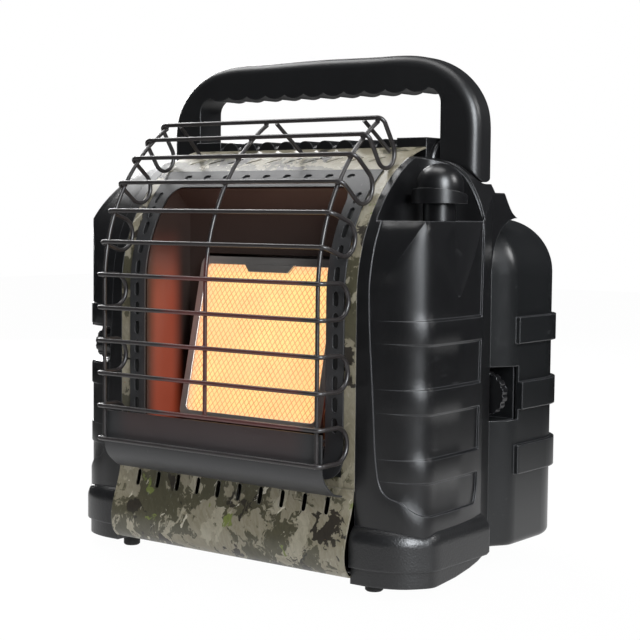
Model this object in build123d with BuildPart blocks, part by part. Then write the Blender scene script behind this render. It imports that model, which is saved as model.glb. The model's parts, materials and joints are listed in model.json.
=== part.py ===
from build123d import *
import math
import os

# Portable propane heater, millimetres. +Z is up, the guard faces -Y and the gas cylinder bay is
# at +Y. The origin is on the surface the feet stand on, under the middle of the whole heater.

os.makedirs("parts", exist_ok=True)

# ---------------------------------------------------------------------------
# Driving dimensions
# ---------------------------------------------------------------------------
overall_height = 384.0
pod_half_width = 163.0           # side housings over their raised bands
bumper_half_width = 167.0
cover_rear = 125.3               # rear wall of the cylinder cover, without its bands
band_height = 3.5                # how far the cover's bands stand proud

sheet_half_width = 112.2         # printed front sheet, from its middle to the side housings
sheet_gauge = 1.2
sheet_front = -94.2              # flat front face of the sheet
arch_radius = 111.0              # the sheet bends back over the top on this radius
arch_y = sheet_front + arch_radius
arch_z = 206.0
arch_top_y = -9.0                # where the sheet ends under the rear housing
sheet_bottom = 72.0

window_half_width = 88.0
window_bottom = 86.0
window_top = 285.0
bezel_half_width = 102.4
bezel_gauge = 1.1
bezel_bottom = 78.0
bezel_top_angle = 53.5           # degrees up the arch
bezel_top_y = arch_y - arch_radius * math.cos(math.radians(bezel_top_angle))

wire_radius = 1.6
guard_half_width = 106.5
guard_front = -127.2             # centre plane of the straight guard wires
guard_arc_radius = 142.0
guard_arc_z = 210.0
guard_arc_y = guard_front + guard_arc_radius
lowest_wire_z = 92.5
wire_pitch = 24.95
upper_wire_angles = [2.9, 13.0, 23.0, 32.8, 42.5, 51.0, 59.8]

burner_tilt = 12.6               # degrees back from upright
burner_width = 137.0
burner_height = 127.0
burner_center = (0, -62.95, 169)

pivot_y = 14.8                   # handle pivot axis, along X
pivot_z = 301.5
hub_radius = 19.0
pivot_pin_radius = 5.0
handle_inner = 117.0
handle_outer = 148.0
handle_front = 1.8
handle_back = 27.8

body_rear = 18.5                 # rear faces of the housings
cover_front = 19.3
cover_half_width = 162.5
cover_wall = 2.6
cover_bottom = 18.0
cover_top = 262.0
hood_radius = 35.0               # the hood's underside curves round the cover's front top edge

shelf_z = 260.0                  # floor of the knob alcove
knob_x = 142.0
knob_y = -36.7
knob_top = 300.5

band_levels = [(79.8, 97.9), (126.9, 146.1), (174.7, 193.2)]      # on the side pods
cover_band_levels = [(72.5, 94.0), (120.5, 141.0), (170.0, 189.5)]

latch_x = 146.5
latch_z = 133.0
latch_radius = 16.5
latch_recess = 40.0              # height of the recess round the thumb wheel

hinge_x = -155.5
hinge_y = 29.0
hinge_levels = [56.0, 212.0]
hinge_pin_radius = 2.0

running_clearance = 0.06         # radial, shaft in hole

cylinder_y = 70.0                # axis of the one-pound gas cylinder
tray_top = 14.0
bottle_thread_radius = 12.7
swivel_y = 44.0                  # regulator swivel axis, along X
swivel_z = 242.0

inlet_y = -79.0                  # hose inlet in the left housing, axis along X
inlet_z = 160.4


def finish(part, name):
    """Label a finished piece and write its STEP file."""
    part.label = name
    export_step(part, f"parts/{name}.step")
    print(name, "volume", round(part.volume), "solids", len(part.solids()))


# ---------------------------------------------------------------------------
# Printed sheet metal: front sheet, lower panel, apron and bezel
# ---------------------------------------------------------------------------
def arch_band(outer_radius, gauge, low_z, end_y):
    """YZ section of a sheet that rises straight and then follows the arch back to end_y."""
    inner_radius = outer_radius - gauge
    outer_end_z = arch_z + math.sqrt(outer_radius**2 - (arch_y - end_y) ** 2)
    inner_end_z = arch_z + math.sqrt(inner_radius**2 - (arch_y - end_y) ** 2)
    with BuildSketch(Plane.YZ) as section:
        with BuildLine():
            Line((arch_y - outer_radius, low_z), (arch_y - outer_radius, arch_z))
            RadiusArc((arch_y - outer_radius, arch_z), (end_y, outer_end_z), outer_radius)
            Line((end_y, outer_end_z), (end_y, inner_end_z))
            RadiusArc((end_y, inner_end_z), (arch_y - inner_radius, arch_z), -inner_radius)
            Line((arch_y - inner_radius, arch_z), (arch_y - inner_radius, low_z))
            Line((arch_y - inner_radius, low_z), (arch_y - outer_radius, low_z))
        make_face()
    return section.sketch


louvre_pitch = 19.2
louvre_count = 10

with BuildPart() as front_sheet:
    extrude(arch_band(arch_radius, sheet_gauge, sheet_bottom, arch_top_y), amount=sheet_half_width, both=True)
    # the window that the burner shines through
    with BuildSketch(Plane.XZ.offset(140)):
        with Locations((0, (window_bottom + window_top) / 2)):
            RectangleRounded(2 * window_half_width, window_top - window_bottom, 12)
    extrude(amount=-130, mode=Mode.SUBTRACT)
    # slanted vent slits across the top
    with BuildSketch(Plane.XY.offset(330)):
        with GridLocations(louvre_pitch, 1, louvre_count, 1):
            with Locations((0, -34.5)):
                SlotOverall(13, 2.2, rotation=32)
    extrude(amount=-60, mode=Mode.SUBTRACT)
finish(front_sheet.part, "front_sheet")

slot_pitch = 20.2
slot_count = 10

with BuildPart() as lower_panel:
    with BuildSketch(Plane.YZ):
        with BuildLine() as skin:
            nose = Spline((-95.4, 73.5), (-96.9, 60), (-100.9, 48), (-105.2, 33), (-104.6, 20), (-99.2, 12.6))
            Line(nose @ 1, (-88, 12.0))
        trace(line_width=sheet_gauge)
    extrude(amount=sheet_half_width, both=True)
    with BuildSketch(Plane.XZ.offset(140)):
        with GridLocations(slot_pitch, 1, slot_count, 1):
            with Locations((0, 60)):
                SlotOverall(12.5, 4.2, rotation=90)
    extrude(amount=-60, mode=Mode.SUBTRACT)
finish(lower_panel.part, "lower_panel")

apron_half_width = 104.0
with BuildPart() as apron:
    with BuildSketch(Plane.YZ):
        with BuildLine():
            wall = Line((-121.2, 113.6), (-121.2, 92))
            scoop = Spline(wall @ 1, (-118.0, 80.2), (-111.0, 73.2), (-97.2, 68.0), tangents=((0, -1), (1, -0.1)))
        trace(line_width=sheet_gauge)
    extrude(amount=apron_half_width, both=True)
finish(apron.part, "apron")

side_slot_x = 95.2
side_slot_pitch = 14.8
side_slot_count = 7              # on the flat, above these the slots climb the arch
arch_slot_angles = [8.5, 16.5, 24.5, 31.5, 38.5]
top_slot_pitch = 19.6
top_slot_angle = 50.0

with BuildPart() as bezel:
    extrude(
        arch_band(arch_radius + 0.05 + bezel_gauge, bezel_gauge, bezel_bottom, bezel_top_y),
        amount=bezel_half_width,
        both=True,
    )
    bezel_corners = bezel.edges().filter_by(Axis.Y, tolerance=1).group_by(Axis.Z)[0]
    fillet(bezel_corners, 16)
    with BuildSketch(Plane.XZ.offset(140)):
        with Locations((0, (window_bottom + 1 + window_top - 1) / 2)):
            RectangleRounded(2 * window_half_width - 2, window_top - window_bottom - 2, 12)
    extrude(amount=-130, mode=Mode.SUBTRACT)
    # oblong slots down both sides
    with BuildSketch(Plane.XZ.offset(140)):
        with GridLocations(2 * side_slot_x, side_slot_pitch, 2, side_slot_count):
            with Locations((0, 161)):
                SlotOverall(10.5, 4.6, rotation=90)
    extrude(amount=-60, mode=Mode.SUBTRACT)
    for angle in arch_slot_angles:
        tilt = Plane(
            origin=(
                0,
                arch_y - (arch_radius + 6) * math.cos(math.radians(angle)),
                arch_z + (arch_radius + 6) * math.sin(math.radians(angle)),
            ),
            x_dir=(1, 0, 0),
            z_dir=(0, -math.cos(math.radians(angle)), math.sin(math.radians(angle))),
        )
        with BuildSketch(tilt):
            with GridLocations(2 * side_slot_x, 1, 2, 1):
                SlotOverall(10.5, 4.6, rotation=90)
        extrude(amount=-12, mode=Mode.SUBTRACT)
    top_tilt = Plane(
        origin=(
            0,
            arch_y - (arch_radius + 6) * math.cos(math.radians(top_slot_angle)),
            arch_z + (arch_radius + 6) * math.sin(math.radians(top_slot_angle)),
        ),
        x_dir=(1, 0, 0),
        z_dir=(0, -math.cos(math.radians(top_slot_angle)), math.sin(math.radians(top_slot_angle))),
    )
    with BuildSketch(top_tilt):
        with GridLocations(top_slot_pitch, 1, 9, 1):
            SlotOverall(6.5, 4.0)
    extrude(amount=-12, mode=Mode.SUBTRACT)
finish(bezel.part, "bezel")

# ---------------------------------------------------------------------------
# Reflector box and burner
# ---------------------------------------------------------------------------
reflector_back = -43.0
reflector_gauge = 1.0
reflector_floor = 100.4
ceiling_front = (-60.4, 283.2)
ceiling_back = (reflector_back, 266.0)

with BuildPart() as reflector:
    # floor, back and sloping ceiling are one bent sheet
    with BuildSketch(Plane.YZ):
        with BuildLine():
            Polyline((-92.0, reflector_floor), (reflector_back, reflector_floor), ceiling_back, ceiling_front)
        trace(line_width=reflector_gauge)
    extrude(amount=window_half_width, both=True)
    # side cheeks, cut to the inside of the arch
    cheek_radius = arch_radius - sheet_gauge - 0.3
    with BuildSketch(Plane.YZ.offset(window_half_width - reflector_gauge)):
        with BuildLine():
            top_point = (
                ceiling_front[0],
                arch_z + math.sqrt(cheek_radius**2 - (arch_y - ceiling_front[0]) ** 2),
            )
            RadiusArc((arch_y - cheek_radius, arch_z), top_point, cheek_radius)
            Polyline(
                top_point,
                ceiling_front,
                ceiling_back,
                (reflector_back, reflector_floor),
                (arch_y - cheek_radius, reflector_floor),
                (arch_y - cheek_radius, arch_z),
            )
        make_face()
    extrude(amount=reflector_gauge)
    mirror(about=Plane.YZ)
    # the burner comes through the back
    with BuildSketch(Plane.XZ.offset(30)):
        with Locations((0, 169)):
            Rectangle(140, 128)
    extrude(amount=30, mode=Mode.SUBTRACT)
finish(reflector.part, "reflector")

with BuildPart() as combustion_floor:
    with BuildSketch(Plane.YZ):
        with BuildLine():
            Polyline((-120.05, 108.5), (-120.05, 104), (-92.8, reflector_floor))
        trace(line_width=reflector_gauge)
    extrude(amount=window_half_width - 2.0, both=True)
finish(combustion_floor.part, "combustion_floor")

burner_plane = Plane(
    origin=burner_center,
    x_dir=(1, 0, 0),
    z_dir=(0, -math.cos(math.radians(burner_tilt)), math.sin(math.radians(burner_tilt))),
)
frame_border = 6.0
frame_depth = 9.0
tile_width = burner_width - 2 * frame_border + 4
tile_height = burner_height - 2 * frame_border + 4

with BuildPart() as burner_frame:
    with BuildSketch(burner_plane):
        RectangleRounded(burner_width, burner_height, 7)
    extrude(amount=-frame_depth)
    with BuildSketch(burner_plane):
        RectangleRounded(burner_width - 2 * frame_border, burner_height - 2 * frame_border, 4)
    extrude(amount=-1.5, mode=Mode.SUBTRACT)
    with BuildSketch(burner_plane.offset(-1.5)):
        RectangleRounded(tile_width + 0.4, tile_height + 0.4, 3)
    extrude(amount=-frame_depth, mode=Mode.SUBTRACT)
    # the clamp tab in the middle of the top rail
    with BuildSketch(burner_plane.offset(-0.6)):
        with BuildLine():
            Polyline((-24, 58), (-19, 52), (19, 52), (24, 58), (-24, 58))
        make_face()
    extrude(amount=1.8)
finish(burner_frame.part, "burner_frame")

with BuildPart() as burner_screen:
    with BuildSketch(burner_plane.offset(-2.3)):
        RectangleRounded(tile_width, tile_height, 3)
    extrude(amount=0.7)
finish(burner_screen.part, "burner_screen")

with BuildPart() as burner_tile:
    with BuildSketch(burner_plane.offset(-15)):
        RectangleRounded(tile_width, tile_height, 3)
    extrude(amount=12.5)
finish(burner_tile.part, "burner_tile")

plenum_width = 126.0
plenum_height = 106.0
plenum_depth = 21.0
inlet_drop = 30.0                # mixing tube enters this far below the plenum's middle

with BuildPart() as burner_plenum:
    with BuildSketch(burner_plane.offset(-15.1)):
        RectangleRounded(plenum_width, plenum_height, 8)
    extrude(amount=-plenum_depth, taper=8)
    with BuildSketch(burner_plane.offset(-15.1)):
        RectangleRounded(plenum_width - 4, plenum_height - 4, 6)
    extrude(amount=-plenum_depth + 2, taper=8, mode=Mode.SUBTRACT)
    with Locations(burner_plane.offset(-15.1 - plenum_depth)):
        with Locations((0, -inlet_drop)):
            Hole(9.0, depth=8)
finish(burner_plenum.part, "burner_plenum")

tube_y = -12.0
tube_low_z = 84.0
plenum_inlet = burner_plane.from_local_coords((0, -inlet_drop, -15.1 - plenum_depth + 2))

with BuildPart() as mixing_tube:
    with BuildLine() as tube_path:
        FilletPolyline(
            (92, tube_y, tube_low_z),
            (0, tube_y, tube_low_z),
            (0, tube_y, plenum_inlet.Z),
            (0, plenum_inlet.Y, plenum_inlet.Z),
            radius=12,
        )
    with BuildSketch(Plane(origin=tube_path.line @ 0, z_dir=tube_path.line % 0)):
        Circle(8.8)
        Circle(7.6, mode=Mode.SUBTRACT)
    sweep()
finish(mixing_tube.part, "mixing_tube")

with BuildPart() as orifice_holder:
    with BuildSketch(Plane.YZ.offset(93)):
        with Locations((tube_y, tube_low_z)):
            RegularPolygon(8.0, 6)
    extrude(amount=9)
    with BuildSketch(Plane.YZ.offset(86)):
        with Locations((tube_y, tube_low_z)):
            Circle(4)
    extrude(amount=8)
    with Locations(Plane.YZ.offset(86)):
        with Locations((tube_y, tube_low_z)):
            Hole(0.6, depth=4)
finish(orifice_holder.part, "orifice_holder")

with BuildPart() as heat_shield:
    with BuildSketch(Plane.YZ):
        with BuildLine():
            Polyline((-2.5, 104), (-2.5, 252), (-34, 285))
        trace(line_width=reflector_gauge)
    extrude(amount=104, both=True)
finish(heat_shield.part, "heat_shield")

# pilot group in front of the burner's lower right corner
pilot_x = 77.5
pilot_y = -74.0
with BuildPart() as pilot_bracket:
    with BuildSketch(Plane.XY.offset(reflector_floor + reflector_gauge / 2)):
        with Locations((pilot_x, pilot_y + 2)):
            Rectangle(17, 14)
    extrude(amount=1.5)
    with BuildSketch(Plane.XZ.offset(-pilot_y - 8.5)):
        with Locations((pilot_x, reflector_floor + 7)):
            Rectangle(17, 13)
    extrude(amount=1.5)
finish(pilot_bracket.part, "pilot_bracket")

with BuildPart() as pilot_burner:
    with BuildSketch(Plane.XY.offset(reflector_floor + 2)):
        with Locations((pilot_x, pilot_y)):
            Circle(3)
    extrude(amount=16)
    with BuildSketch(Plane.XY.offset(reflector_floor + 11)):
        with Locations((pilot_x, pilot_y)):
            Circle(3.6)
    extrude(amount=3)
finish(pilot_burner.part, "pilot_burner")


def pilot_rod(offset_x, radius, top_z):
    """A rod that stands in the pilot bracket and leans towards the pilot flame."""
    with BuildPart() as rod:
        with BuildLine() as run:
            FilletPolyline(
                (pilot_x + offset_x, pilot_y, reflector_floor + 2),
                (pilot_x + offset_x, pilot_y, top_z - 8),
                (pilot_x + offset_x * 0.55, pilot_y, top_z),
                radius=4,
            )
        with BuildSketch(Plane(origin=run.line @ 0, z_dir=run.line % 0)):
            Circle(radius)
        sweep()
    return rod.part


finish(pilot_rod(-6, 1.6, 128), "thermocouple")
finish(pilot_rod(6, 1.3, 126), "spark_electrode")

# ---------------------------------------------------------------------------
# Wire guard
# ---------------------------------------------------------------------------
def wire_centers():
    """(y, z) of the twelve front wires, from the top one down."""
    centers = []
    for angle in reversed(upper_wire_angles):
        centers.append(
            (
                guard_arc_y - guard_arc_radius * math.cos(math.radians(angle)),
                guard_arc_z + guard_arc_radius * math.sin(math.radians(angle)),
            )
        )
    for step in (4, 3, 2, 1, 0):
        centers.append((guard_front, lowest_wire_z + step * wire_pitch))
    return centers


wires = wire_centers()
loop_clearance = 0.02


def guard_loop(upper, lower):
    """Closed wire loop: two front wires joined at both ends by a bow that reaches the sheet."""
    a = Vector(0, *upper)
    b = Vector(0, *lower)
    chord = (b - a).normalized()
    inward = Vector(0, -chord.Z, chord.Y)
    if inward.Y < 0:
        inward = -inward
    middle = (a + b) / 2
    half = (b - a).length / 2
    reach = 0.0
    while True:
        tip = middle + inward * (reach + half)
        past_arch = math.hypot(tip.Y - arch_y, tip.Z - arch_z) < arch_radius + wire_radius + loop_clearance
        past_flat = tip.Z < arch_z and tip.Y > sheet_front - wire_radius - loop_clearance
        if past_flat or (tip.Z >= arch_z and past_arch):
            break
        reach += 0.1
    reach -= 0.1
    left = Vector(-guard_half_width, 0, 0)
    right = Vector(guard_half_width, 0, 0)
    far_a = a + inward * (reach + half)
    far_b = b + inward * (reach + half)
    corners = [a + left, a + right, far_a + right, far_b + right, b + right, b + left, far_b + left, far_a + left]
    tight = 5.0
    bow = half * 0.985
    with BuildPart() as loop:
        with BuildLine() as path:
            FilletPolyline(*corners, radius=[tight, tight, bow, bow, tight, tight, bow, bow], close=True)
        with BuildSketch(Plane(origin=path.line @ 0, z_dir=path.line % 0)):
            Circle(wire_radius)
        sweep()
    return loop.part


for number in range(6):
    loop_part = guard_loop(wires[2 * number], wires[2 * number + 1])
    finish(loop_part, f"guard_loop_{number + 1}")

upright_back = 3.12              # uprights are welded behind the front wires


def guard_upright(x, low_z):
    """Upright wire that follows the guard's side profile from low_z to the top wire."""
    radius = guard_arc_radius - upright_back
    top = math.radians(upper_wire_angles[-1])
    front = guard_front + upright_back
    with BuildPart() as upright:
        with BuildLine() as path:
            Line((x, front, low_z), (x, front, guard_arc_z))
            ThreePointArc(
                (x, front, guard_arc_z),
                (x, guard_arc_y - radius * math.cos(top / 2), guard_arc_z + radius * math.sin(top / 2)),
                (x, guard_arc_y - radius * math.cos(top), guard_arc_z + radius * math.sin(top)),
            )
        with BuildSketch(Plane(origin=path.line @ 0, z_dir=path.line % 0)):
            Circle(wire_radius - 0.1)
        sweep()
    return upright.part


upright_x = guard_half_width - 5.2
finish(guard_upright(-upright_x, lowest_wire_z - 2), "guard_upright_left")
finish(guard_upright(0, lowest_wire_z + wire_pitch - 2), "guard_upright_middle")
finish(guard_upright(upright_x, lowest_wire_z - 2), "guard_upright_right")

leg_foot_angle = 67.5
leg_foot_y = arch_y - (arch_radius + 1.7) * math.cos(math.radians(leg_foot_angle))
leg_foot_z = arch_z + (arch_radius + 1.7) * math.sin(math.radians(leg_foot_angle))



with BuildPart() as guard_legs:
    # braces from the top wire back and down to the front sheet
    for head_x, foot_x in ((-88, -92), (8, 11), (88, 92)):
        head = Vector(head_x, wires[0][0] + 2.9, wires[0][1] - 1.4)
        foot = Vector(foot_x, leg_foot_y, leg_foot_z)
        with BuildSketch(Plane(origin=head, z_dir=foot - head)):
            Circle(wire_radius - 0.1)
        extrude(amount=(foot - head).length)
finish(guard_legs.part, "guard_legs")

# ---------------------------------------------------------------------------
# Moulded housings
# ---------------------------------------------------------------------------
housing_bottom = 22.0
shoulder_top = 306.5
inner_face = sheet_half_width + 0.3
panel_recess = 1.7               # the side panels lie this far inside the surround
panel_front_recess = 0.8
corner_x = 122.5                 # the flat front ends here and a half-round corner begins
corner_depth = 22.0
arm_floor_z = 281.0              # level of the pocket that the handle's arm folds back into
hood_y = body_rear + hood_radius + 2
arm_gap = 1.6                    # between the handle's arms and their pockets


def housing_side_outline(inset):
    """Side view of the housing: arched front, shoulder behind the handle, hood over the cover."""
    radius = arch_radius - inset
    top_y = arch_y - math.sqrt(radius**2 - (shoulder_top - 1.5 - arch_z) ** 2)
    with BuildSketch(Plane.YZ) as outline:
        with BuildLine():
            Line((arch_y - radius, housing_bottom), (arch_y - radius, arch_z))
            RadiusArc((arch_y - radius, arch_z), (top_y, shoulder_top - 1.5), radius)
            Spline(
                (top_y, shoulder_top - 1.5),
                (4, shoulder_top + 0.5),
                (28, 291),
                (38, 278),
                (46, 268),
                (hood_y - 2, cover_top + 1.2),
                tangents=((1, 0.35), (1, -0.5)),
            )
            Line((hood_y - 2, cover_top + 1.2), (hood_y, cover_top + 0.6))
            RadiusArc((hood_y, cover_top + 0.6), (body_rear + 0.6, cover_top - hood_radius), -hood_radius - 1)
            Polyline(
                (body_rear + 0.6, cover_top - hood_radius),
                (body_rear, cover_top - hood_radius - 2),
                (body_rear, housing_bottom),
                (arch_y - radius, housing_bottom),
            )
        make_face()
    return outline.sketch


def shoulder_outline(side):
    """Front view of one side: upright at the given half-width, rounding in over a broad shoulder."""
    with BuildSketch(Plane.XZ) as outline:
        with BuildLine():
            Polyline((side + 0.5, 200), (side + 0.5, housing_bottom), (inner_face, housing_bottom))
            Line((inner_face, housing_bottom), (inner_face, shoulder_top))
            Spline(
                (inner_face, shoulder_top),
                (122, 304.2),
                (side - 31, 301.8),
                (side - 19.5, 294),
                (side - 10.4, 280),
                (side - 3.4, 261),
                (side - 0.5, 241),
                (side + 0.5, 200),
                tangents=((1, -0.15), (0, -1)),
            )
        make_face()
    return outline.sketch


def quarter_round(start, end):
    """Quarter of an ellipse that leaves start along +X and arrives at end along +Y."""
    width = end[0] - start[0]
    depth = end[1] - start[1]
    points = [start]
    for angle in (22.5, 45, 67.5):
        turn = math.radians(angle)
        points.append((start[0] + width * math.sin(turn), start[1] + depth * (1 - math.cos(turn))))
    points.append(end)
    Spline(*points, tangents=((1, 0), (0, 1)))


def side_plan(side, front):
    """Plan of a right-hand side: flat front, half-round corner, then drawing in towards the rear."""
    with BuildSketch(Plane.XY) as outline:
        with BuildLine():
            Polyline((100, 90), (100, front), (corner_x, front))
            quarter_round((corner_x, front), (side, front + corner_depth))
            Line((side, front + corner_depth), (side, -60))
            Spline((side, -60), (side - 0.6, -35), (side - 3.5, -3), tangents=((0, 1), (-0.2, 1)))
            Polyline((side - 3.5, -3), (152.6, body_rear), (152.6, 90), (100, 90))
        make_face()
    return outline.sketch


def side_form(inset, front_inset):
    """Everything inside the housing's skin, or inside a surface that lies inset from it."""
    with BuildPart() as form:
        extrude(shoulder_outline(pod_half_width - inset), amount=200, both=True)
        extrude(housing_side_outline(front_inset), amount=200, mode=Mode.INTERSECT)
        plan = side_plan(pod_half_width - inset, sheet_front + front_inset)
        extrude(plan, amount=330, mode=Mode.INTERSECT)
    return form.part


panel_low_z = 57.2
panel_rear_low = (-10.5, 78.0)
panel_rear_high = (-3.5, 260.0)


def panel_region():
    """The space in front of the sunk side panel, inside its curved edge."""
    with BuildPart() as region:
        with BuildSketch(Plane.XZ):
            with BuildLine():
                Line((122.3, 215), (122.3, 340))
                Spline(
                    (122.3, 215),
                    (123.6, 179),
                    (126, 145),
                    (128, 111),
                    (130.5, 86),
                    (134.5, 74.5),
                    (140, 70),
                    (147, 67.5),
                    (155, 61),
                    (165, panel_low_z),
                    tangents=((0.02, -1), (1, -0.1)),
                )
                Polyline((165, panel_low_z), (190, panel_low_z), (190, 340), (122.3, 340))
            make_face()
        extrude(amount=140, both=True)
        with BuildSketch(Plane.YZ):
            with BuildLine():
                Polyline((-19, panel_low_z), (-140, panel_low_z), (-140, 340), (-3.5, 340), panel_rear_high)
                Line(panel_rear_high, panel_rear_low)
                Spline(panel_rear_low, (-13, 62), (-19, panel_low_z), tangents=((-0.04, -1), (-1, 0)))
            make_face()
        extrude(amount=200, mode=Mode.INTERSECT)
    return region.part


def band_solid():
    """The raised bands that cross the panel, flush with the surround at the side."""
    with BuildPart() as bands:
        for low, high in band_levels:
            with BuildPart(mode=Mode.PRIVATE) as band:
                plan = side_plan(pod_half_width, sheet_front + panel_front_recess)
                extrude(Plane.XY.offset(low) * plan, amount=high - low)
                flats = band.faces().filter_by(Axis.Z)
                chamfer(flats.edges().filter_by(lambda e: e.center().X > 124 and e.center().Y < -4), 1.5)
            add(band.part)
    return bands.part


def housing_solid():
    """Right-hand side housing: one skin with a sunk panel at the side, crossed by bands."""
    with BuildPart() as housing:
        add(side_form(0, 0))
        with BuildPart(mode=Mode.PRIVATE) as cut:
            add(panel_region())
            add(side_form(panel_recess, panel_front_recess), mode=Mode.SUBTRACT)
            add(band_solid(), mode=Mode.SUBTRACT)
        add(cut.part, mode=Mode.SUBTRACT)
        # room that the handle's arm stands and folds in, and the pivot collar beside it
        arm = (handle_back - handle_front) / 2 + 1.2
        with BuildSketch(Plane.YZ.offset(handle_inner - arm_gap)):
            with Locations((pivot_y, pivot_z)):
                Circle(arm)
            with Locations((pivot_y, pivot_z + 30)):
                Rectangle(2 * arm, 60)
            with Locations((pivot_y + 60, pivot_z - arm + 40)):
                Rectangle(120, 80)
            with Locations((pivot_y + 68, arm_floor_z + 40)):
                Rectangle(120, 80)
        extrude(amount=60, mode=Mode.SUBTRACT)
        with BuildSketch(Plane.YZ.offset(110)):
            with Locations((pivot_y, pivot_z)):
                Circle(hub_radius + 0.5)
        extrude(amount=handle_inner - arm_gap - 110, mode=Mode.SUBTRACT)
    return housing.part


valve_bore = 11.2



def hollow():
    """Inside of a right-hand housing, open towards the middle."""
    with BuildPart() as inside:
        with BuildSketch(Plane.XY.offset(housing_bottom + 4)):
            with BuildLine():
                Polyline((110, -88), (136, -88), (149, -78), (149, 12), (110, 12), (110, -88))
            make_face()
        extrude(amount=222 - housing_bottom - 4)
        with BuildSketch(Plane.XY.offset(222)):
            with BuildLine():
                Polyline((110, -62), (149, -62), (149, 12), (110, 12), (110, -62))
            make_face()
        extrude(amount=23)
    return inside.part


with BuildPart() as side_housing_right:
    add(housing_solid())
    # alcove round the knob: a smooth wall on the inside and behind, open at the front and side
    with BuildSketch(Plane.XY.offset(shelf_z)):
        with BuildLine():
            Polyline((158, -3.5), (200, -3.5), (200, -140), (118.2, -140), (118.2, -30))
            Spline((118.2, -30), (123, -17), (138, -8), (158, -3.5), tangents=((0, 1), (1, 0.15)))
        make_face()
    extrude(amount=70, mode=Mode.SUBTRACT)
    # thumb scoop below the shelf: a leaning cone with its rounded tip down
    scoop_top_radius = 260
    scoop_depth = 5.5
    with BuildSketch(Plane.XY.offset(208)):
        with Locations((pod_half_width - 1.7 + 6.2, knob_y - 2)):
            Circle(7)
    with BuildSketch(Plane.XY.offset(shelf_z + 1)):
        with Locations((pod_half_width - 1.7 - scoop_depth + scoop_top_radius, knob_y - 2)):
            Circle(scoop_top_radius)
    loft(mode=Mode.SUBTRACT)
    # hollow, open towards the middle, that holds the valve and its tubes
    add(hollow(), mode=Mode.SUBTRACT)
    with BuildSketch(Plane.XY.offset(190)):
        with Locations((knob_x, knob_y)):
            Circle(valve_bore)
    extrude(amount=62, mode=Mode.SUBTRACT)
    with BuildSketch(Plane.XY.offset(250)):
        with Locations((knob_x, knob_y)):
            Circle(5.6)
    extrude(amount=20, mode=Mode.SUBTRACT)
    with BuildSketch(Plane.XY.offset(66)):
        with Locations((152, -45)):
            Rectangle(7, 50)
    extrude(amount=128, mode=Mode.SUBTRACT)
finish(side_housing_right.part, "side_housing_right")

with BuildPart() as side_housing_left:
    add(mirror(housing_solid(), about=Plane.YZ, mode=Mode.PRIVATE))
    add(mirror(hollow(), about=Plane.YZ, mode=Mode.PRIVATE), mode=Mode.SUBTRACT)
    # walls of the recess that the hose inlet stands in
    with BuildSketch(Plane.XY.offset(inlet_z - 17)):
        with Locations((-136, -68)):
            Rectangle(34, 36)
    extrude(amount=34)
    with BuildSketch(Plane.XY.offset(inlet_z - 14)):
        with Locations((-150, -83)):
            Rectangle(48, 42)
    extrude(amount=28, mode=Mode.SUBTRACT)
    with BuildSketch(Plane.YZ.offset(-126)):
        with Locations((inlet_y, inlet_z)):
            Circle(6.5)
    extrude(amount=30, mode=Mode.SUBTRACT)
finish(side_housing_left.part, "side_housing_left")

# ---------------------------------------------------------------------------
# Bumpers, base and feet
# ---------------------------------------------------------------------------
bumper_front = -101.0
bumper_rear = -2.0
bumper_top = 50.0
bumper_crease = 20.0
bumper_bottom = 8.0
bumper_corner_x = 122.0
bumper_corner_depth = 36.0


def bumper_plan(inset):
    """Plan of a right-hand bumper, drawn inset from its widest outline."""
    side = bumper_half_width - inset
    front = bumper_front + inset
    with BuildSketch(Plane.XY) as outline:
        with BuildLine():
            Polyline((inner_face, bumper_rear), (inner_face, front), (bumper_corner_x, front))
            quarter_round((bumper_corner_x, front), (side, bumper_front + bumper_corner_depth))
            Polyline((side, bumper_front + bumper_corner_depth), (side, bumper_rear), (inner_face, bumper_rear))
        make_face()
    return outline.sketch


def bumper_solid():
    """Right-hand bumper: a bulging cup that the side housing stands in, with a set-back skirt."""
    with BuildPart() as bumper:
        extrude(Plane.XY.offset(bumper_crease) * bumper_plan(0), amount=bumper_top - bumper_crease)
        rim = bumper.edges().filter_by_position(Axis.Z, bumper_top - 0.1, bumper_top + 0.1)
        rim = rim.filter_by(lambda e: e.center().Y < bumper_rear - 1 and e.center().X > inner_face + 1)
        fillet(rim, 13)
        extrude(Plane.XY.offset(bumper_bottom) * bumper_plan(2.5), amount=bumper_crease - bumper_bottom)
        # the underside rises towards the rear
        with BuildSketch(Plane.YZ.offset(inner_face)):
            with BuildLine():
                Polyline((-70, 0), (-70, bumper_bottom), (-44, 10.3), (-26, 13.4), (-14.5, 16.3), (-2, 21.5))
                Polyline((-2, 21.5), (5, 24), (5, 0), (-70, 0))
            make_face()
        extrude(amount=80, mode=Mode.SUBTRACT)
        # seat for the side housing
        seat = side_plan(pod_half_width, sheet_front)
        extrude(Plane.XY.offset(housing_bottom) * seat, amount=60, mode=Mode.SUBTRACT)
    return bumper.part


with BuildPart() as bumper_right:
    add(bumper_solid())
finish(bumper_right.part, "bumper_right")

with BuildPart() as bumper_left:
    add(mirror(bumper_solid(), about=Plane.YZ, mode=Mode.PRIVATE))
finish(bumper_left.part, "bumper_left")

pan_gauge = 1.5
tray_rear = 118.0
front_foot = (118.0, -77.0)
rear_foot = (84.0, 96.0)
foot_radius = 6.5

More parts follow.
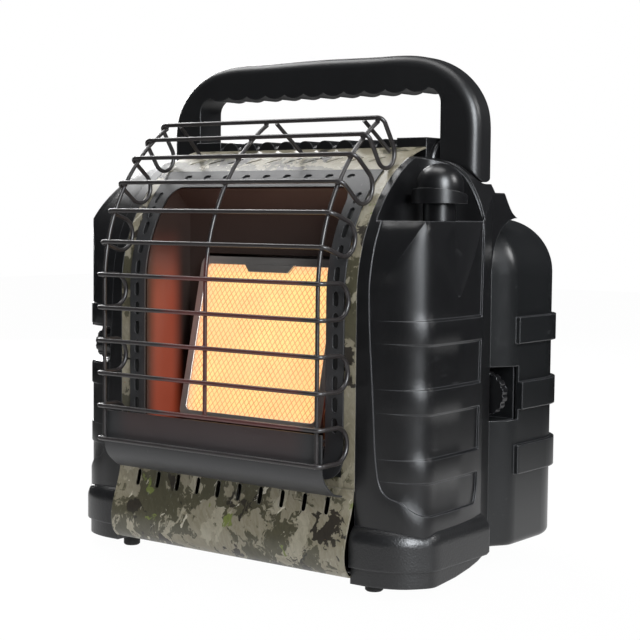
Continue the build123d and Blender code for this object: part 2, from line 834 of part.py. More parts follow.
with BuildPart() as base_pan:
    # floor under the burner, narrowing to the shelf that carries the gas cylinder
    with BuildSketch(Plane.XY.offset(tray_top - pan_gauge)):
        with BuildLine():
            Polyline((0, -87.6), (sheet_half_width - 0.6, -87.6), (sheet_half_width - 0.6, 15.2), (98, 21), (98, 100))
            RadiusArc((98, 100), (80, tray_rear), -18)
            Polyline((80, tray_rear), (0, tray_rear), (0, -87.6))
        make_face()
        mirror(about=Plane.YZ)
    extrude(amount=pan_gauge)
    # low rim that keeps the cylinder's foot in place
    with BuildSketch(Plane.XY.offset(tray_top)):
        with Locations((0, cylinder_y)):
            Circle(44.5)
            Circle(42.5, mode=Mode.SUBTRACT)
    extrude(amount=2)
finish(base_pan.part, "base_pan")

with BuildPart() as feet:
    with BuildSketch(Plane.XY):
        with GridLocations(2 * front_foot[0], 1, 2, 1):
            with Locations((0, front_foot[1])):
                Circle(foot_radius)
    extrude(amount=bumper_bottom)
    with BuildSketch(Plane.XY):
        with GridLocations(2 * rear_foot[0], 1, 2, 1):
            with Locations((0, rear_foot[1])):
                Circle(foot_radius)
    extrude(amount=tray_top - pan_gauge)
    chamfer(feet.edges().filter_by_position(Axis.Z, -0.1, 0.1), 1)
finish(feet.part, "feet")

# ---------------------------------------------------------------------------
# Rear housing with its ribbed top
# ---------------------------------------------------------------------------
rib_pitch = 18.9
rib_count = 9
rib_radius = 8.6
rib_top = 320.6
deck_z = 317.0
deck_front = -8.4
deck_rear = 27.0
rear_half_width = 111.9
rear_wall = 3.0

with BuildPart() as rear_housing:
    with BuildSketch(Plane.YZ):
        with BuildLine():
            Polyline((body_rear, cover_top - hood_radius - 2), (body_rear, tray_top + 0.3))
            Polyline((body_rear, tray_top + 0.3), (body_rear - rear_wall, tray_top + 0.3))
            Polyline((body_rear - rear_wall, tray_top + 0.3), (body_rear - rear_wall, 228), (19.5, 243), (27, 256))
            Polyline((27, 256), (40, 266), (58, 271), (46, 291), (26, 311), (deck_front + 3, 311))
            Polyline((deck_front + 3, 311), (deck_front + 3, 290), (deck_front, 290), (deck_front, deck_z - 4))
            RadiusArc((deck_front, deck_z - 4), (deck_front + 4, deck_z), 4)
            Line((deck_front + 4, deck_z), (deck_rear, deck_z))
            Spline((deck_rear, deck_z), (48, 300), (64, 276), (78, 263.2), tangents=((1, -0.2), (1, -0.35)))
            Line((78, 263.2), (hood_y, cover_top + 0.6))
            RadiusArc((hood_y, cover_top + 0.6), (body_rear + 0.6, cover_top - hood_radius), -hood_radius - 1)
            Line((body_rear + 0.6, cover_top - hood_radius), (body_rear, cover_top - hood_radius - 2))
        make_face()
    extrude(amount=rear_half_width, both=True)
    # half-round ribs along the deck
    with BuildSketch(Plane.XZ.offset(-deck_front)):
        with GridLocations(rib_pitch, 1, rib_count, 1):
            with Locations((0, rib_top - rib_radius)):
                Circle(rib_radius)
    extrude(amount=-(deck_rear - deck_front + 4))
    # solid blocks at both ends of the deck, bored for the handle's pivot pins
    with BuildSketch(Plane.XZ.offset(-deck_front)):
        with GridLocations(2 * 98.8, 1, 2, 1):
            with Locations((0, 304)):
                Rectangle(26, 34)
    extrude(amount=-(deck_rear - deck_front + 5))
    with BuildSketch(Plane.YZ.offset(105.9)):
        with Locations((pivot_y, pivot_z)):
            Circle(hub_radius + 0.4)
    extrude(amount=10, mode=Mode.SUBTRACT)
    with BuildSketch(Plane.YZ.offset(-105.9)):
        with Locations((pivot_y, pivot_z)):
            Circle(hub_radius + 0.4)
    extrude(amount=-10, mode=Mode.SUBTRACT)
    with BuildSketch(Plane.YZ):
        with Locations((pivot_y, pivot_z)):
            Circle(pivot_pin_radius)
    extrude(amount=120, both=True, mode=Mode.SUBTRACT)
    # the gas tube passes through the rear wall
    with BuildSketch(Plane.XZ):
        with Locations((24, swivel_z - 6)):
            Circle(3.4)
    extrude(amount=-60, mode=Mode.SUBTRACT)
finish(rear_housing.part, "rear_housing")



with BuildPart() as pivot_collars:
    # round collars between the deck and the handle's arms
    with BuildSketch(Plane.YZ.offset(106)):
        with Locations((pivot_y, pivot_z)):
            Circle(hub_radius)
            Circle(pivot_pin_radius, mode=Mode.SUBTRACT)
    extrude(amount=9.1)
    chamfer(pivot_collars.faces().sort_by(Axis.X)[-1].outer_wire().edges(), 1.2)
    mirror(about=Plane.YZ)
finish(pivot_collars.part, "pivot_collars")

with BuildPart() as pivot_pins:
    with BuildSketch(Plane.YZ.offset(92)):
        with Locations((pivot_y, pivot_z)):
            Circle(pivot_pin_radius)
    extrude(amount=46)
    mirror(about=Plane.YZ)
finish(pivot_pins.part, "pivot_pins")

# ---------------------------------------------------------------------------
# Handle
# ---------------------------------------------------------------------------
bump_pitch = 19.3
bump_count = 11
bump_depth = 3.0
grip_under = 358.0

with BuildPart() as handle:
    with BuildSketch(Plane.XZ.offset(-handle_front)):
        with BuildLine():
            row = bump_pitch * bump_count / 2
            Polyline((-row, grip_under), (-row, 366), (row, 366), (row, grip_under))
            for index in range(bump_count):
                start = row - index * bump_pitch
                ThreePointArc(
                    (start, grip_under),
                    (start - bump_pitch / 2, grip_under - bump_depth),
                    (start - bump_pitch, grip_under),
                )
        make_face()
        with BuildLine():
            arm_low = pivot_z - (handle_back - handle_front) / 2
            Polyline((0, 362), (0, overall_height))
            Spline(
                (0, overall_height),
                (60, 383.3),
                (100, 380.8),
                (130, 366),
                (145, 345),
                (handle_outer, 322),
                tangents=((1, 0), (0, -1)),
            )
            Polyline((handle_outer, 322), (handle_outer, arm_low), (handle_inner, arm_low), (handle_inner, 346))
            RadiusArc((handle_inner, 346), (handle_inner - 12, grip_under), -12)
            Polyline((handle_inner - 12, grip_under), (100, 362), (0, 362))
        make_face()
        mirror(about=Plane.YZ)
    extrude(amount=-(handle_back - handle_front))
    outline = handle.edges().filter_by(lambda e: abs(e.tangent_at(0.5).Y) < 0.5)
    outline = outline.filter_by(lambda e: e.bounding_box().max.Z > 375 or abs(e.center().X) > 147)
    fillet(outline, 8)
    # round ends that turn about the pivot pins
    with BuildSketch(Plane.YZ):
        with Locations((pivot_y, pivot_z)):
            Circle((handle_back - handle_front) / 2)
        with Locations((pivot_y, pivot_z + 60)):
            Rectangle(handle_back - handle_front, 120)
    extrude(amount=200, both=True, mode=Mode.INTERSECT)
    with BuildSketch(Plane.YZ):
        with Locations((pivot_y, pivot_z)):
            Circle(pivot_pin_radius + running_clearance)
    extrude(amount=138.3, both=True, mode=Mode.SUBTRACT)
finish(handle.part, "handle")

# ---------------------------------------------------------------------------
# Gas valve, knob and tubes
# ---------------------------------------------------------------------------
cone_radius = 6.0
spindle_radius = 4.0
collar_radius = 11.7
collar_top = 274.0

with BuildPart() as gas_valve:
    with BuildSketch(Plane.XY.offset(200)):
        with Locations((knob_x, knob_y)):
            Circle(10.5)
    extrude(amount=46)
    with BuildSketch(Plane.XY.offset(212)):
        with Locations((knob_x, knob_y)):
            Circle(cone_radius + running_clearance)
    extrude(amount=26, mode=Mode.SUBTRACT)
    with BuildSketch(Plane.XY.offset(238)):
        with Locations((knob_x, knob_y)):
            Circle(spindle_radius + running_clearance)
    extrude(amount=10, mode=Mode.SUBTRACT)
    with BuildSketch(Plane.XY.offset(190)):
        with Locations((knob_x, knob_y)):
            Circle(6)
    extrude(amount=10)
finish(gas_valve.part, "gas_valve")

with BuildPart() as valve_cone:
    with BuildSketch(Plane.XY.offset(212.3)):
        with Locations((knob_x, knob_y)):
            Circle(cone_radius)
    extrude(amount=16)
    with BuildSketch(Plane.XY.offset(216)):
        with Locations((knob_x, knob_y)):
            Rectangle(3.2, 6.2)
    extrude(amount=20, mode=Mode.SUBTRACT)
finish(valve_cone.part, "valve_cone")

with BuildPart() as valve_spindle:
    with BuildSketch(Plane.XY.offset(234)):
        with Locations((knob_x, knob_y)):
            Circle(spindle_radius)
    extrude(amount=60)
    with BuildSketch(Plane.XY.offset(222)):
        with Locations((knob_x, knob_y)):
            Rectangle(3, 6)
    extrude(amount=12)
finish(valve_spindle.part, "valve_spindle")

with BuildPart() as knob_collar:
    with BuildSketch(Plane.XY.offset(shelf_z)):
        with Locations((knob_x, knob_y)):
            Circle(collar_radius)
            Circle(collar_radius - 2.2, mode=Mode.SUBTRACT)
    extrude(amount=collar_top - shelf_z)
    with BuildSketch(Plane.XY.offset(shelf_z)):
        with Locations((knob_x, knob_y)):
            Circle(collar_radius - 1)
            Circle(5.6, mode=Mode.SUBTRACT)
    extrude(amount=2)
finish(knob_collar.part, "knob_collar")

knob_radius = 17.0
brim_radius = 19.8
brim_low = 272.5
brim_high = 283.5

with BuildPart() as control_knob:
    # dome over a flared brim
    with BuildSketch(Plane.XZ.offset(-knob_y)):
        with BuildLine():
            Polyline((knob_x, knob_top), (knob_x, brim_low), (knob_x + brim_radius, brim_low))
            Line((knob_x + brim_radius, brim_low), (knob_x + brim_radius, brim_high))
            Line((knob_x + brim_radius, brim_high), (knob_x + knob_radius, brim_high - 0.8))
            Spline(
                (knob_x + knob_radius, brim_high - 0.8),
                (knob_x + 13.5, 294.5),
                (knob_x, knob_top),
                tangents=((0, 1), (-1, 0)),
            )
        make_face()
    revolve(axis=Axis((knob_x, knob_y, 0), (0, 0, 1)))
    # the brim's top edge dips in two long waves
    with BuildSketch(Plane.YZ.offset(knob_x - 30)):
        with BuildLine():
            Spline((knob_y - 24, 283.4), (knob_y - 10, 281.8), (knob_y + 8, 278.4), (knob_y + 24, 276.8))
            Polyline((knob_y + 24, 276.8), (knob_y + 24, 290), (knob_y - 24, 290), (knob_y - 24, 283.4))
        make_face()
    wave = extrude(amount=60, mode=Mode.PRIVATE)
    with BuildSketch(Plane.XY.offset(brim_low + 2)):
        with Locations((knob_x, knob_y)):
            Circle(brim_radius + 1)
            Circle(knob_radius, mode=Mode.SUBTRACT)
    ring = extrude(amount=20, mode=Mode.PRIVATE)
    add(wave & ring, mode=Mode.SUBTRACT)
    # hollow underneath, with the hub that grips the spindle
    with BuildSketch(Plane.XY.offset(brim_low)):
        with Locations((knob_x, knob_y)):
            Circle(collar_radius + 0.5)
            Circle(6.2, mode=Mode.SUBTRACT)
    extrude(amount=9, mode=Mode.SUBTRACT)
    with BuildSketch(Plane.XY.offset(brim_low)):
        with Locations((knob_x, knob_y)):
            Circle(spindle_radius)
    extrude(amount=21.5, mode=Mode.SUBTRACT)
finish(control_knob.part, "control_knob")


def tube(name, points, radius, bends):
    """Bent gas tube through the given corners."""
    with BuildPart() as run:
        with BuildLine() as path:
            FilletPolyline(*points, radius=bends)
        with BuildSketch(Plane(origin=path.line @ 0, z_dir=path.line % 0)):
            Circle(radius)
        sweep()
    finish(run.part, name)


tube("supply_tube", [(24, 39, swivel_z - 6), (24, 6, swivel_z - 6), (knob_x, 6, swivel_z - 6),
                     (knob_x, knob_y + 10.4, swivel_z - 6)], 2.6, 9)
tube("burner_tube", [(knob_x, knob_y, 190), (knob_x, knob_y, tube_low_z), (118, tube_y, tube_low_z),
                     (102, tube_y, tube_low_z)], 3.0, 8)
tube("pilot_tube", [(knob_x, knob_y - 10.4, 206), (knob_x, -62, 206), (knob_x, -62, 88),
                    (pilot_x, -62, 88), (pilot_x, pilot_y, 88), (pilot_x, pilot_y, 94)], 1.6, 5)

with BuildPart() as piezo_igniter:
    with BuildSketch(Plane.XY.offset(176)):
        with Locations((124, -42)):
            Circle(7)
    extrude(amount=44)
    with BuildSketch(Plane.XY.offset(212)):
        with Locations((125.7, -40)):
            Rectangle(12.4, 8)
    extrude(amount=4)
finish(piezo_igniter.part, "piezo_igniter")

# ---------------------------------------------------------------------------
# Regulator that the gas cylinder screws up into
# ---------------------------------------------------------------------------
ear_gap = 30.0

with BuildPart() as regulator_bracket:
    with BuildSketch(Plane.XZ.offset(-body_rear - 0.05)):
        with Locations((0, swivel_z - 31)):
            Rectangle(56, 24)
    extrude(amount=-2.5)
    for side in (-1, 1):
        with BuildSketch(Plane.YZ.offset(side * (ear_gap / 2 + 4))):
            with BuildLine():
                Polyline(
                    (body_rear + 0.05, swivel_z - 42),
                    (swivel_y, swivel_z - 8),
                    (swivel_y, swivel_z + 8),
                    (32, swivel_z - 4),
                    (body_rear + 0.05, swivel_z - 20),
                    (body_rear + 0.05, swivel_z - 42),
                )
            make_face()
            with Locations((swivel_y, swivel_z)):
                Circle(8)
                Circle(4 + running_clearance, mode=Mode.SUBTRACT)
        extrude(amount=2, both=True)
finish(regulator_bracket.part, "regulator_bracket")

with BuildPart() as regulator_body:
    with BuildSketch(Plane.YZ):
        with Locations((swivel_y, swivel_z)):
            Circle(7.5)
    extrude(amount=ear_gap / 2 - 0.6 + 2 - 0.2, both=True)
    with BuildSketch(Plane.XY.offset(swivel_z - 10)):
        with Locations((0, (swivel_y + cylinder_y) / 2)):
            Rectangle(18, cylinder_y - swivel_y)
    extrude(amount=7)
    with BuildSketch(Plane.XY.offset(swivel_z - 14)):
        with Locations((0, cylinder_y)):
            Circle(23)
    extrude(amount=11)
    with BuildSketch(Plane.YZ):
        with Locations((swivel_y, swivel_z)):
            Circle(4)
    extrude(amount=30, both=True, mode=Mode.SUBTRACT)
finish(regulator_body.part, "regulator_body")

with BuildPart() as swivel_pin:
    with BuildSketch(Plane.YZ):
        with Locations((swivel_y, swivel_z)):
            Circle(4)
    extrude(amount=22.5, both=True)
    chamfer(swivel_pin.edges(), 0.6)
finish(swivel_pin.part, "swivel_pin")

with BuildPart() as regulator_cap:
    with BuildSketch(Plane.XY.offset(swivel_z - 3)):
        with Locations((0, cylinder_y + 2)):
            Circle(9)
    extrude(amount=5)
    chamfer(regulator_cap.faces().sort_by(Axis.Z)[-1].edges(), 1.5)
finish(regulator_cap.part, "regulator_cap")

with BuildPart() as cylinder_socket:
    with BuildSketch(Plane.XY.offset(swivel_z - 31)):
        with Locations((0, cylinder_y)):
            Circle(17)
    extrude(amount=17)
    with BuildSketch(Plane.XY.offset(swivel_z - 31)):
        with Locations((0, cylinder_y)):
            Circle(bottle_thread_radius)
    extrude(amount=14, mode=Mode.SUBTRACT)
finish(cylinder_socket.part, "cylinder_socket")

# ---------------------------------------------------------------------------
# Cylinder cover, its hinges and its thumb-wheel latch
# ---------------------------------------------------------------------------
cover_corner = 43.0
cover_top_round = 41.0


def cover_plan(inset, front):
    """Plan of the cover: sides that curve out from the front edges, round rear corners."""
    side = cover_half_width - inset
    rear = cover_rear - inset
    corner = cover_corner - inset
    with BuildSketch(Plane.XY) as outline:
        with BuildLine():
            lead = cover_front - front
            Polyline((0, rear), (0, front), (152 - inset - 0.45 * lead, front), (152 - inset, cover_front))
            Spline((152 - inset, cover_front), (157 - inset, 28), (side, 42), tangents=((0.45, 1), (0, 1)))
            Line((side, 42), (side, rear - corner))
            RadiusArc((side, rear - corner), (side - corner, rear), -corner)
            Line((side - corner, rear), (0, rear))
        make_face()
        mirror(about=Plane.YZ)
    return outline.sketch


def cover_block(inset, low_z, front):
    """Solid block in the cover's form, rounded over at the top."""
    with BuildPart() as block:
        extrude(Plane.XY.offset(low_z) * cover_plan(inset, front), amount=cover_top - inset - low_z)
        rim = block.faces().sort_by(Axis.Z)[-1].edges().filter_by(lambda e: e.center().Y > front + 0.5)
        fillet(rim, cover_top_round - inset)
    return block.part


def cover_front_trim():
    """Everything behind the cover's front edge, seen from the side."""
    with BuildSketch(Plane.YZ) as outline:
        with BuildLine():
            Line((cover_front, 0), (cover_front, cover_top - hood_radius))
            RadiusArc(
                (cover_front, cover_top - hood_radius),
                (cover_front + hood_radius, cover_top),
                hood_radius,
            )
            Polyline(
                (cover_front + hood_radius, cover_top),
                (cover_front + hood_radius, cover_top + 10),
                (200, cover_top + 10),
                (200, 0),
                (cover_front, 0),
            )
        make_face()
    return outline.sketch


with BuildPart() as cylinder_cover:
    add(cover_block(0, cover_bottom, cover_front - 5))
    fillet(cylinder_cover.faces().sort_by(Axis.Z)[0].edges().filter_by(lambda e: e.center().Y > 24), 5)
    extrude(cover_front_trim(), amount=200, both=True, mode=Mode.INTERSECT)
    # raised bands round the sides and rear
    for low, high in cover_band_levels:
        with BuildSketch(Plane.XY.offset(low)) as band:
            add(cover_plan(-band_height, cover_front - 5))
            with Locations((0, -61)):
                Rectangle(400, 200, mode=Mode.SUBTRACT)
        extrude(amount=high - low)
    add(cover_block(cover_wall, cover_bottom - 10, cover_front - 20), mode=Mode.SUBTRACT)
    # recess in the right front edge for the thumb wheel, with the wheel's bearing boss behind it
    with BuildSketch(Plane.XY.offset(latch_z - latch_recess / 2 - cover_wall)):
        with BuildLine():
            Polyline((125, cover_front), (151.5, cover_front), (157, 34), (158.5, 47), (125, 47), (125, cover_front))
        make_face()
    extrude(amount=latch_recess + 2 * cover_wall)
    with BuildSketch(Plane.XZ.offset(-cover_front + 10)):
        with Locations((127.6 + 25, latch_z)):
            Rectangle(50, latch_recess)
    extrude(amount=-34.7, mode=Mode.SUBTRACT)
    with BuildSketch(Plane.XZ.offset(-39)):
        with Locations((latch_x, latch_z)):
            Circle(6)
    extrude(amount=-6)
    with BuildSketch(Plane.XZ.offset(-20)):
        with Locations((latch_x, latch_z)):
            Circle(3 + running_clearance)
    extrude(amount=-40, mode=Mode.SUBTRACT)
    # hinge side: gaps in the wall for the fixed knuckles, and the cover's own knuckles
    for level in hinge_levels:
        with BuildSketch(Plane.XY.offset(level - 7.4)):
            with Locations((hinge_x, 28)):
                Rectangle(20, 21)
        extrude(amount=14.8, mode=Mode.SUBTRACT)
        for low in (level - 15.4, level + 7.4):
            with BuildSketch(Plane.XY.offset(low)):
                with Locations((hinge_x, hinge_y)):
                    Circle(4.4)
            extrude(amount=8)
        with BuildSketch(Plane.XY.offset(level - 20)):
            with Locations((hinge_x, hinge_y)):
                Circle(hinge_pin_radius + running_clearance)
        extrude(amount=40, mode=Mode.SUBTRACT)
finish(cylinder_cover.part, "cylinder_cover")

with BuildPart() as hinge_knuckles:
    for level in hinge_levels:
        with BuildSketch(Plane.XY.offset(level - 7)):
            with BuildLine():
                Polyline(
                    (hinge_x - 3, hinge_y),
                    (hinge_x - 3, 21),
                    (-146, 21),
                    (-132, body_rear + 2.1),
                    (-132, body_rear + 0.05),
                    (-152, body_rear + 0.05),
                    (-152, 20),
                )
                Polyline((-152, 20), (hinge_x - 4.4, 20), (hinge_x - 4.4, hinge_y), (hinge_x - 3, hinge_y))
            make_face()
            with Locations((hinge_x, hinge_y)):
                Circle(4.4)
                Circle(hinge_pin_radius, mode=Mode.SUBTRACT)
        extrude(amount=14)
finish(hinge_knuckles.part, "hinge_knuckles")

with BuildPart() as hinge_pins:
    for level in hinge_levels:
        with BuildSketch(Plane.XY.offset(level - 15.2)):
            with Locations((hinge_x, hinge_y)):
                Circle(hinge_pin_radius)
        extrude(amount=30.4)
finish(hinge_pins.part, "hinge_pins")

wheel_front = 21.0
wheel_thickness = 6.0

with BuildPart() as latch_wheel:
    with BuildSketch(Plane.XZ.offset(-wheel_front)):
        with Locations((latch_x, latch_z)):
            Circle(latch_radius)
            with PolarLocations(latch_radius + 1.2, 16):
                Circle(2.2, mode=Mode.SUBTRACT)
    extrude(amount=-wheel_thickness)
    with BuildSketch(Plane.XZ.offset(-wheel_front)):
        with Locations((latch_x, latch_z)):
            Circle(3)
    extrude(amount=-27)
    # cam that turns in front of the housing's rear face
    with BuildSketch(Plane.XZ.offset(-wheel_front)):
        with Locations((latch_x, latch_z)):
            SlotCenterPoint((-3, 0), (0, 0), 8)
    extrude(amount=0.8)
finish(latch_wheel.part, "latch_wheel")

# ---------------------------------------------------------------------------
# Hose inlet with its cap, and the tip-over switch
# ---------------------------------------------------------------------------
cap_radius = 12.0

with BuildPart() as hose_inlet:
    with BuildSketch(Plane.YZ.offset(-126 + 8)):
        with Locations((inlet_y, inlet_z)):
            Circle(6.5)
    extrude(amount=-22)
    with BuildSketch(Plane.YZ.offset(-126)):
        with Locations((inlet_y, inlet_z)):
            Circle(9)
            Circle(6.5, mode=Mode.SUBTRACT)
    extrude(amount=-2)
    with BuildSketch(Plane.YZ.offset(-140)):
        with Locations((inlet_y, inlet_z)):
            Circle(3)
    extrude(amount=12, mode=Mode.SUBTRACT)
finish(hose_inlet.part, "hose_inlet")

with BuildPart() as hose_cap:
    with BuildSketch(Plane.YZ.offset(-129.5)):
        with Locations((inlet_y, inlet_z)):
            Circle(cap_radius)
            with PolarLocations(cap_radius + 1, 12):
                Circle(1.8, mode=Mode.SUBTRACT)
    extrude(amount=-15)
    with BuildSketch(Plane.YZ.offset(-129.5)):
        with Locations((inlet_y, inlet_z)):
            Circle(6.5 + running_clearance)
    extrude(amount=-12, mode=Mode.SUBTRACT)
finish(hose_cap.part, "hose_cap")

switch_center = (-62.0, -30.0)
switch_base = tray_top
pendulum_z = switch_base + 38

with BuildPart() as tip_switch:
    with BuildSketch(Plane.XY.offset(switch_base)):
        with Locations(switch_center):
            Rectangle(26, 30)
    extrude(amount=1.6)
    for side in (-1, 1):
        with BuildSketch(Plane.YZ.offset(switch_center[0] + side * 10)):
            with Locations((switch_center[1], switch_base + 23)):
                Rectangle(12, 44)
        extrude(amount=0.8, both=True)
    with BuildSketch(Plane.YZ.offset(switch_center[0])):
        with Locations((switch_center[1], pendulum_z)):
            Circle(1.5)
    extrude(amount=12, both=True)
finish(tip_switch.part, "tip_switch")

with BuildPart() as tip_pendulum:
    with BuildSketch(Plane.YZ.offset(switch_center[0])):
        with Locations((switch_center[1], pendulum_z)):
            Circle(4)
        with Locations((switch_center[1], pendulum_z - 10)):
            Rectangle(3, 18)
    extrude(amount=3, both=True)
    with BuildSketch(Plane.XY.offset(pendulum_z - 28)):
        with Locations(switch_center):
            Circle(7)
    extrude(amount=12)
    with BuildSketch(Plane.YZ.offset(switch_center[0])):
        with Locations((switch_center[1], pendulum_z)):
            Circle(1.5 + running_clearance)
    extrude(amount=12, both=True, mode=Mode.SUBTRACT)
finish(tip_pendulum.part, "tip_pendulum")

# ---------------------------------------------------------------------------
# Screws that hold the housings and the bezel
# ---------------------------------------------------------------------------
screw_radius = 3.2
screw_levels = [46.0, 130.0, 214.0]

with BuildPart() as screws:
    # through the rear wall into the side housings' flanges, heads on the rear face
    for side in (-1, 1):
        for level in screw_levels:
            with BuildSketch(Plane.XZ.offset(-body_rear)):
                with Locations((side * 104, level)):
                    Circle(screw_radius)
            extrude(amount=-0.7)
finish(screws.part, "screws")
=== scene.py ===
# %% [markdown]
# # A portable propane heater, dressed for rendering
#
# The construction model arrives as a fixed frame: every sheet, wire and moulding is already in
# place, in metres, with +Z up and the guard facing -Y. This file gives each of those pieces the
# finish that it has on the real heater, adds the few pieces that are too fine for a construction
# model, and sets up a small studio round it.
#
# The cells are meant to be run from top to bottom.

# %% Load the frame
import json
import math

import bmesh
import bpy
from mathutils import Matrix, Vector


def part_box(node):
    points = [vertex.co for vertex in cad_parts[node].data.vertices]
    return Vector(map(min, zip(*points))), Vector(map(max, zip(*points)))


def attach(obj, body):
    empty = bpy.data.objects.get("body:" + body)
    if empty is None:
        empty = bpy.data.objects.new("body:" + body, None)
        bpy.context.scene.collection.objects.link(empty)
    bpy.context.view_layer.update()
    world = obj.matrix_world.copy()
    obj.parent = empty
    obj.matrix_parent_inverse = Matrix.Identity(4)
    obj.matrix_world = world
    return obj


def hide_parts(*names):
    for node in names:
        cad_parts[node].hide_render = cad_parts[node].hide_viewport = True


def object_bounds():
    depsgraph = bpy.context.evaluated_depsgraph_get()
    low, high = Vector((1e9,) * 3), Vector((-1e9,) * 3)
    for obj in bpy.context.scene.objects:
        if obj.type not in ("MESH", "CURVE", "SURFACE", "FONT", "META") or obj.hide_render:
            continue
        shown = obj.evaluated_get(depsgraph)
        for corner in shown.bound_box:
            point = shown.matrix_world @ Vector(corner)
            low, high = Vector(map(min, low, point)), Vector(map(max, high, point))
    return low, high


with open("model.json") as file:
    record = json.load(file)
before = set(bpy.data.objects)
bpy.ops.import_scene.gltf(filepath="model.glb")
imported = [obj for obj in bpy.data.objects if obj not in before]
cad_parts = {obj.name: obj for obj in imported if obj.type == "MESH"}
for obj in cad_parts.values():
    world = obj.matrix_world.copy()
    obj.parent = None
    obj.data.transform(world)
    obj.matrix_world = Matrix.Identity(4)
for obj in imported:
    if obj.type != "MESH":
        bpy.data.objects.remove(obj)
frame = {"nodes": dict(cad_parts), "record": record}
cad_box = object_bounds()
scene = bpy.context.scene
low, high = Vector(cad_box[0]), Vector(cad_box[1])
middle = (low + high) / 2
print("size in mm:", [round(1000 * side) for side in high - low])

# %% [markdown]
# ## The camera
#
# A product picture is taken from some distance with a long lens, so that the box keeps its
# proportions. The camera is given by where it stands and by three angles: how far round the object
# it is, how far it looks down, and a slight roll. Building its axes as vectors keeps those three
# angles readable, where Euler angles would mix them up.

# %% Camera
camera_place = Vector((0.71466, -0.93525, 0.26371))
camera_azimuth = math.radians(37.0)
camera_down = math.radians(4.0)
camera_roll = math.radians(0.5525)
sensor_width_mm = 36.0
focal_length_mm = 84.606

forward = Vector((
    -math.sin(camera_azimuth) * math.cos(camera_down),
    math.cos(camera_azimuth) * math.cos(camera_down),
    -math.sin(camera_down),
))
level_right = Vector((math.cos(camera_azimuth), math.sin(camera_azimuth), 0))
level_up = level_right.cross(forward)
right = level_right * math.cos(camera_roll) + level_up * math.sin(camera_roll)
up = -level_right * math.sin(camera_roll) + level_up * math.cos(camera_roll)
camera_turn = Matrix((right, up, -forward)).transposed().to_4x4()

camera_data = bpy.data.cameras.new("camera")
camera_data.sensor_width = sensor_width_mm
camera_data.lens = focal_length_mm
camera = bpy.data.objects.new("camera", camera_data)
camera.matrix_world = Matrix.Translation(camera_place) @ camera_turn
scene.collection.objects.link(camera)
scene.camera = camera
print("camera is", round((camera_place - middle).length, 3), "m from the middle of the heater")

# %% [markdown]
# ## Helpers for shader trees
#
# A procedural material is a tree of small nodes, and written out link by link it becomes unreadable.
# A few helpers keep it short. The first adds a node and feeds its inputs, and most of the others use
# it, for sums, colours, smooth steps and noise. An input takes either a plain value or the output of
# another node.

# %% Shader tree helpers
def node(tree, kind, feeds=None, **settings):
    """Adds a shader node, sets its properties and fills its inputs with sockets or plain values."""
    made = tree.nodes.new("ShaderNode" + kind)
    for key, value in settings.items():
        setattr(made, key, value)
    for key, value in (feeds or {}).items():
        if isinstance(value, bpy.types.NodeSocket):
            tree.links.new(value, made.inputs[key])
        else:
            made.inputs[key].default_value = value
    return made


def calc(tree, operation, *values):
    """The result of a Math node."""
    return node(tree, "Math", dict(enumerate(values)), operation=operation).outputs[0]


def times(tree, first, *others):
    """The product of two or more values."""
    for other in others:
        first = calc(tree, "MULTIPLY", first, other)
    return first


def vector_calc(tree, operation, first, second):
    """The vector that a VectorMath node puts out."""
    return node(tree, "VectorMath", {0: first, 1: second}, operation=operation).outputs[0]


def mix(tree, factor, first, second, blend="MIX"):
    """The colour between two colours."""
    feeds = {0: factor, 6: first, 7: second}
    return node(tree, "Mix", feeds, data_type="RGBA", blend_type=blend).outputs[2]


def ramp(tree, value, start, end):
    """0 below start, 1 above end, and a smooth step between them. It runs down if start is above end."""
    feeds = {"Value": value, "From Min": start, "From Max": end}
    return node(tree, "MapRange", feeds, interpolation_type="SMOOTHSTEP").outputs["Result"]


def noise(tree, place, scale, detail=2.0, roughness=0.5):
    """A noise value about 0.5."""
    feeds = {"Vector": place, "Scale": scale, "Detail": detail, "Roughness": roughness}
    return node(tree, "TexNoise", feeds).outputs["Fac"]


def frame_place(tree):
    """The point's place in the frame's own coordinates, in metres."""
    return node(tree, "TexCoord").outputs["Object"]


def own_normal(tree):
    """The surface's own normal, without any bevel or bump."""
    return node(tree, "NewGeometry").outputs["Normal"]


def split(tree, vector):
    """The X, Y and Z of a vector."""
    return node(tree, "SeparateXYZ", {0: vector}).outputs


def set_bump(tree, surface, height, normal, depth):
    """Raises the surface by the height, over a normal if one is given."""
    feeds = {"Height": height, "Distance": depth}
    if normal:
        feeds["Normal"] = normal
    tree.links.new(node(tree, "Bump", feeds).outputs[0], surface["Normal"])


def group(name, inputs, outputs):
    """An empty node group; returns its tree, its input node's outputs and its output node."""
    tree = bpy.data.node_groups.new(name, "ShaderNodeTree")
    for label, value in inputs.items():
        socket = tree.interface.new_socket(label, in_out="INPUT", socket_type="NodeSocketFloat")
        socket.default_value = value
    for label, kind in outputs.items():
        tree.interface.new_socket(label, in_out="OUTPUT", socket_type="NodeSocket" + kind)
    return tree, tree.nodes.new("NodeGroupInput").outputs, tree.nodes.new("NodeGroupOutput")


def place_group(tree, name, **values):
    """Puts a node group into a material; its inputs are named without spaces."""
    made = tree.nodes.new("ShaderNodeGroup")
    made.node_tree = bpy.data.node_groups[name]
    for label, value in values.items():
        made.inputs[label].default_value = value
    return made.outputs


print("shader helpers are ready")

# %% [markdown]
# ## Effects that several finishes share
#
# Moulded plastic, coated steel and bare metal differ in colour, but the same few things happen to all
# of them. Edges are never sharp, so they catch a thin line of light. The tool leaves a fine grain.
# Handling leaves faint scuffs, and dust settles on what faces up. Each effect is one node group that
# puts out masks, heights or normals, and a material that needs it places it with its own values.

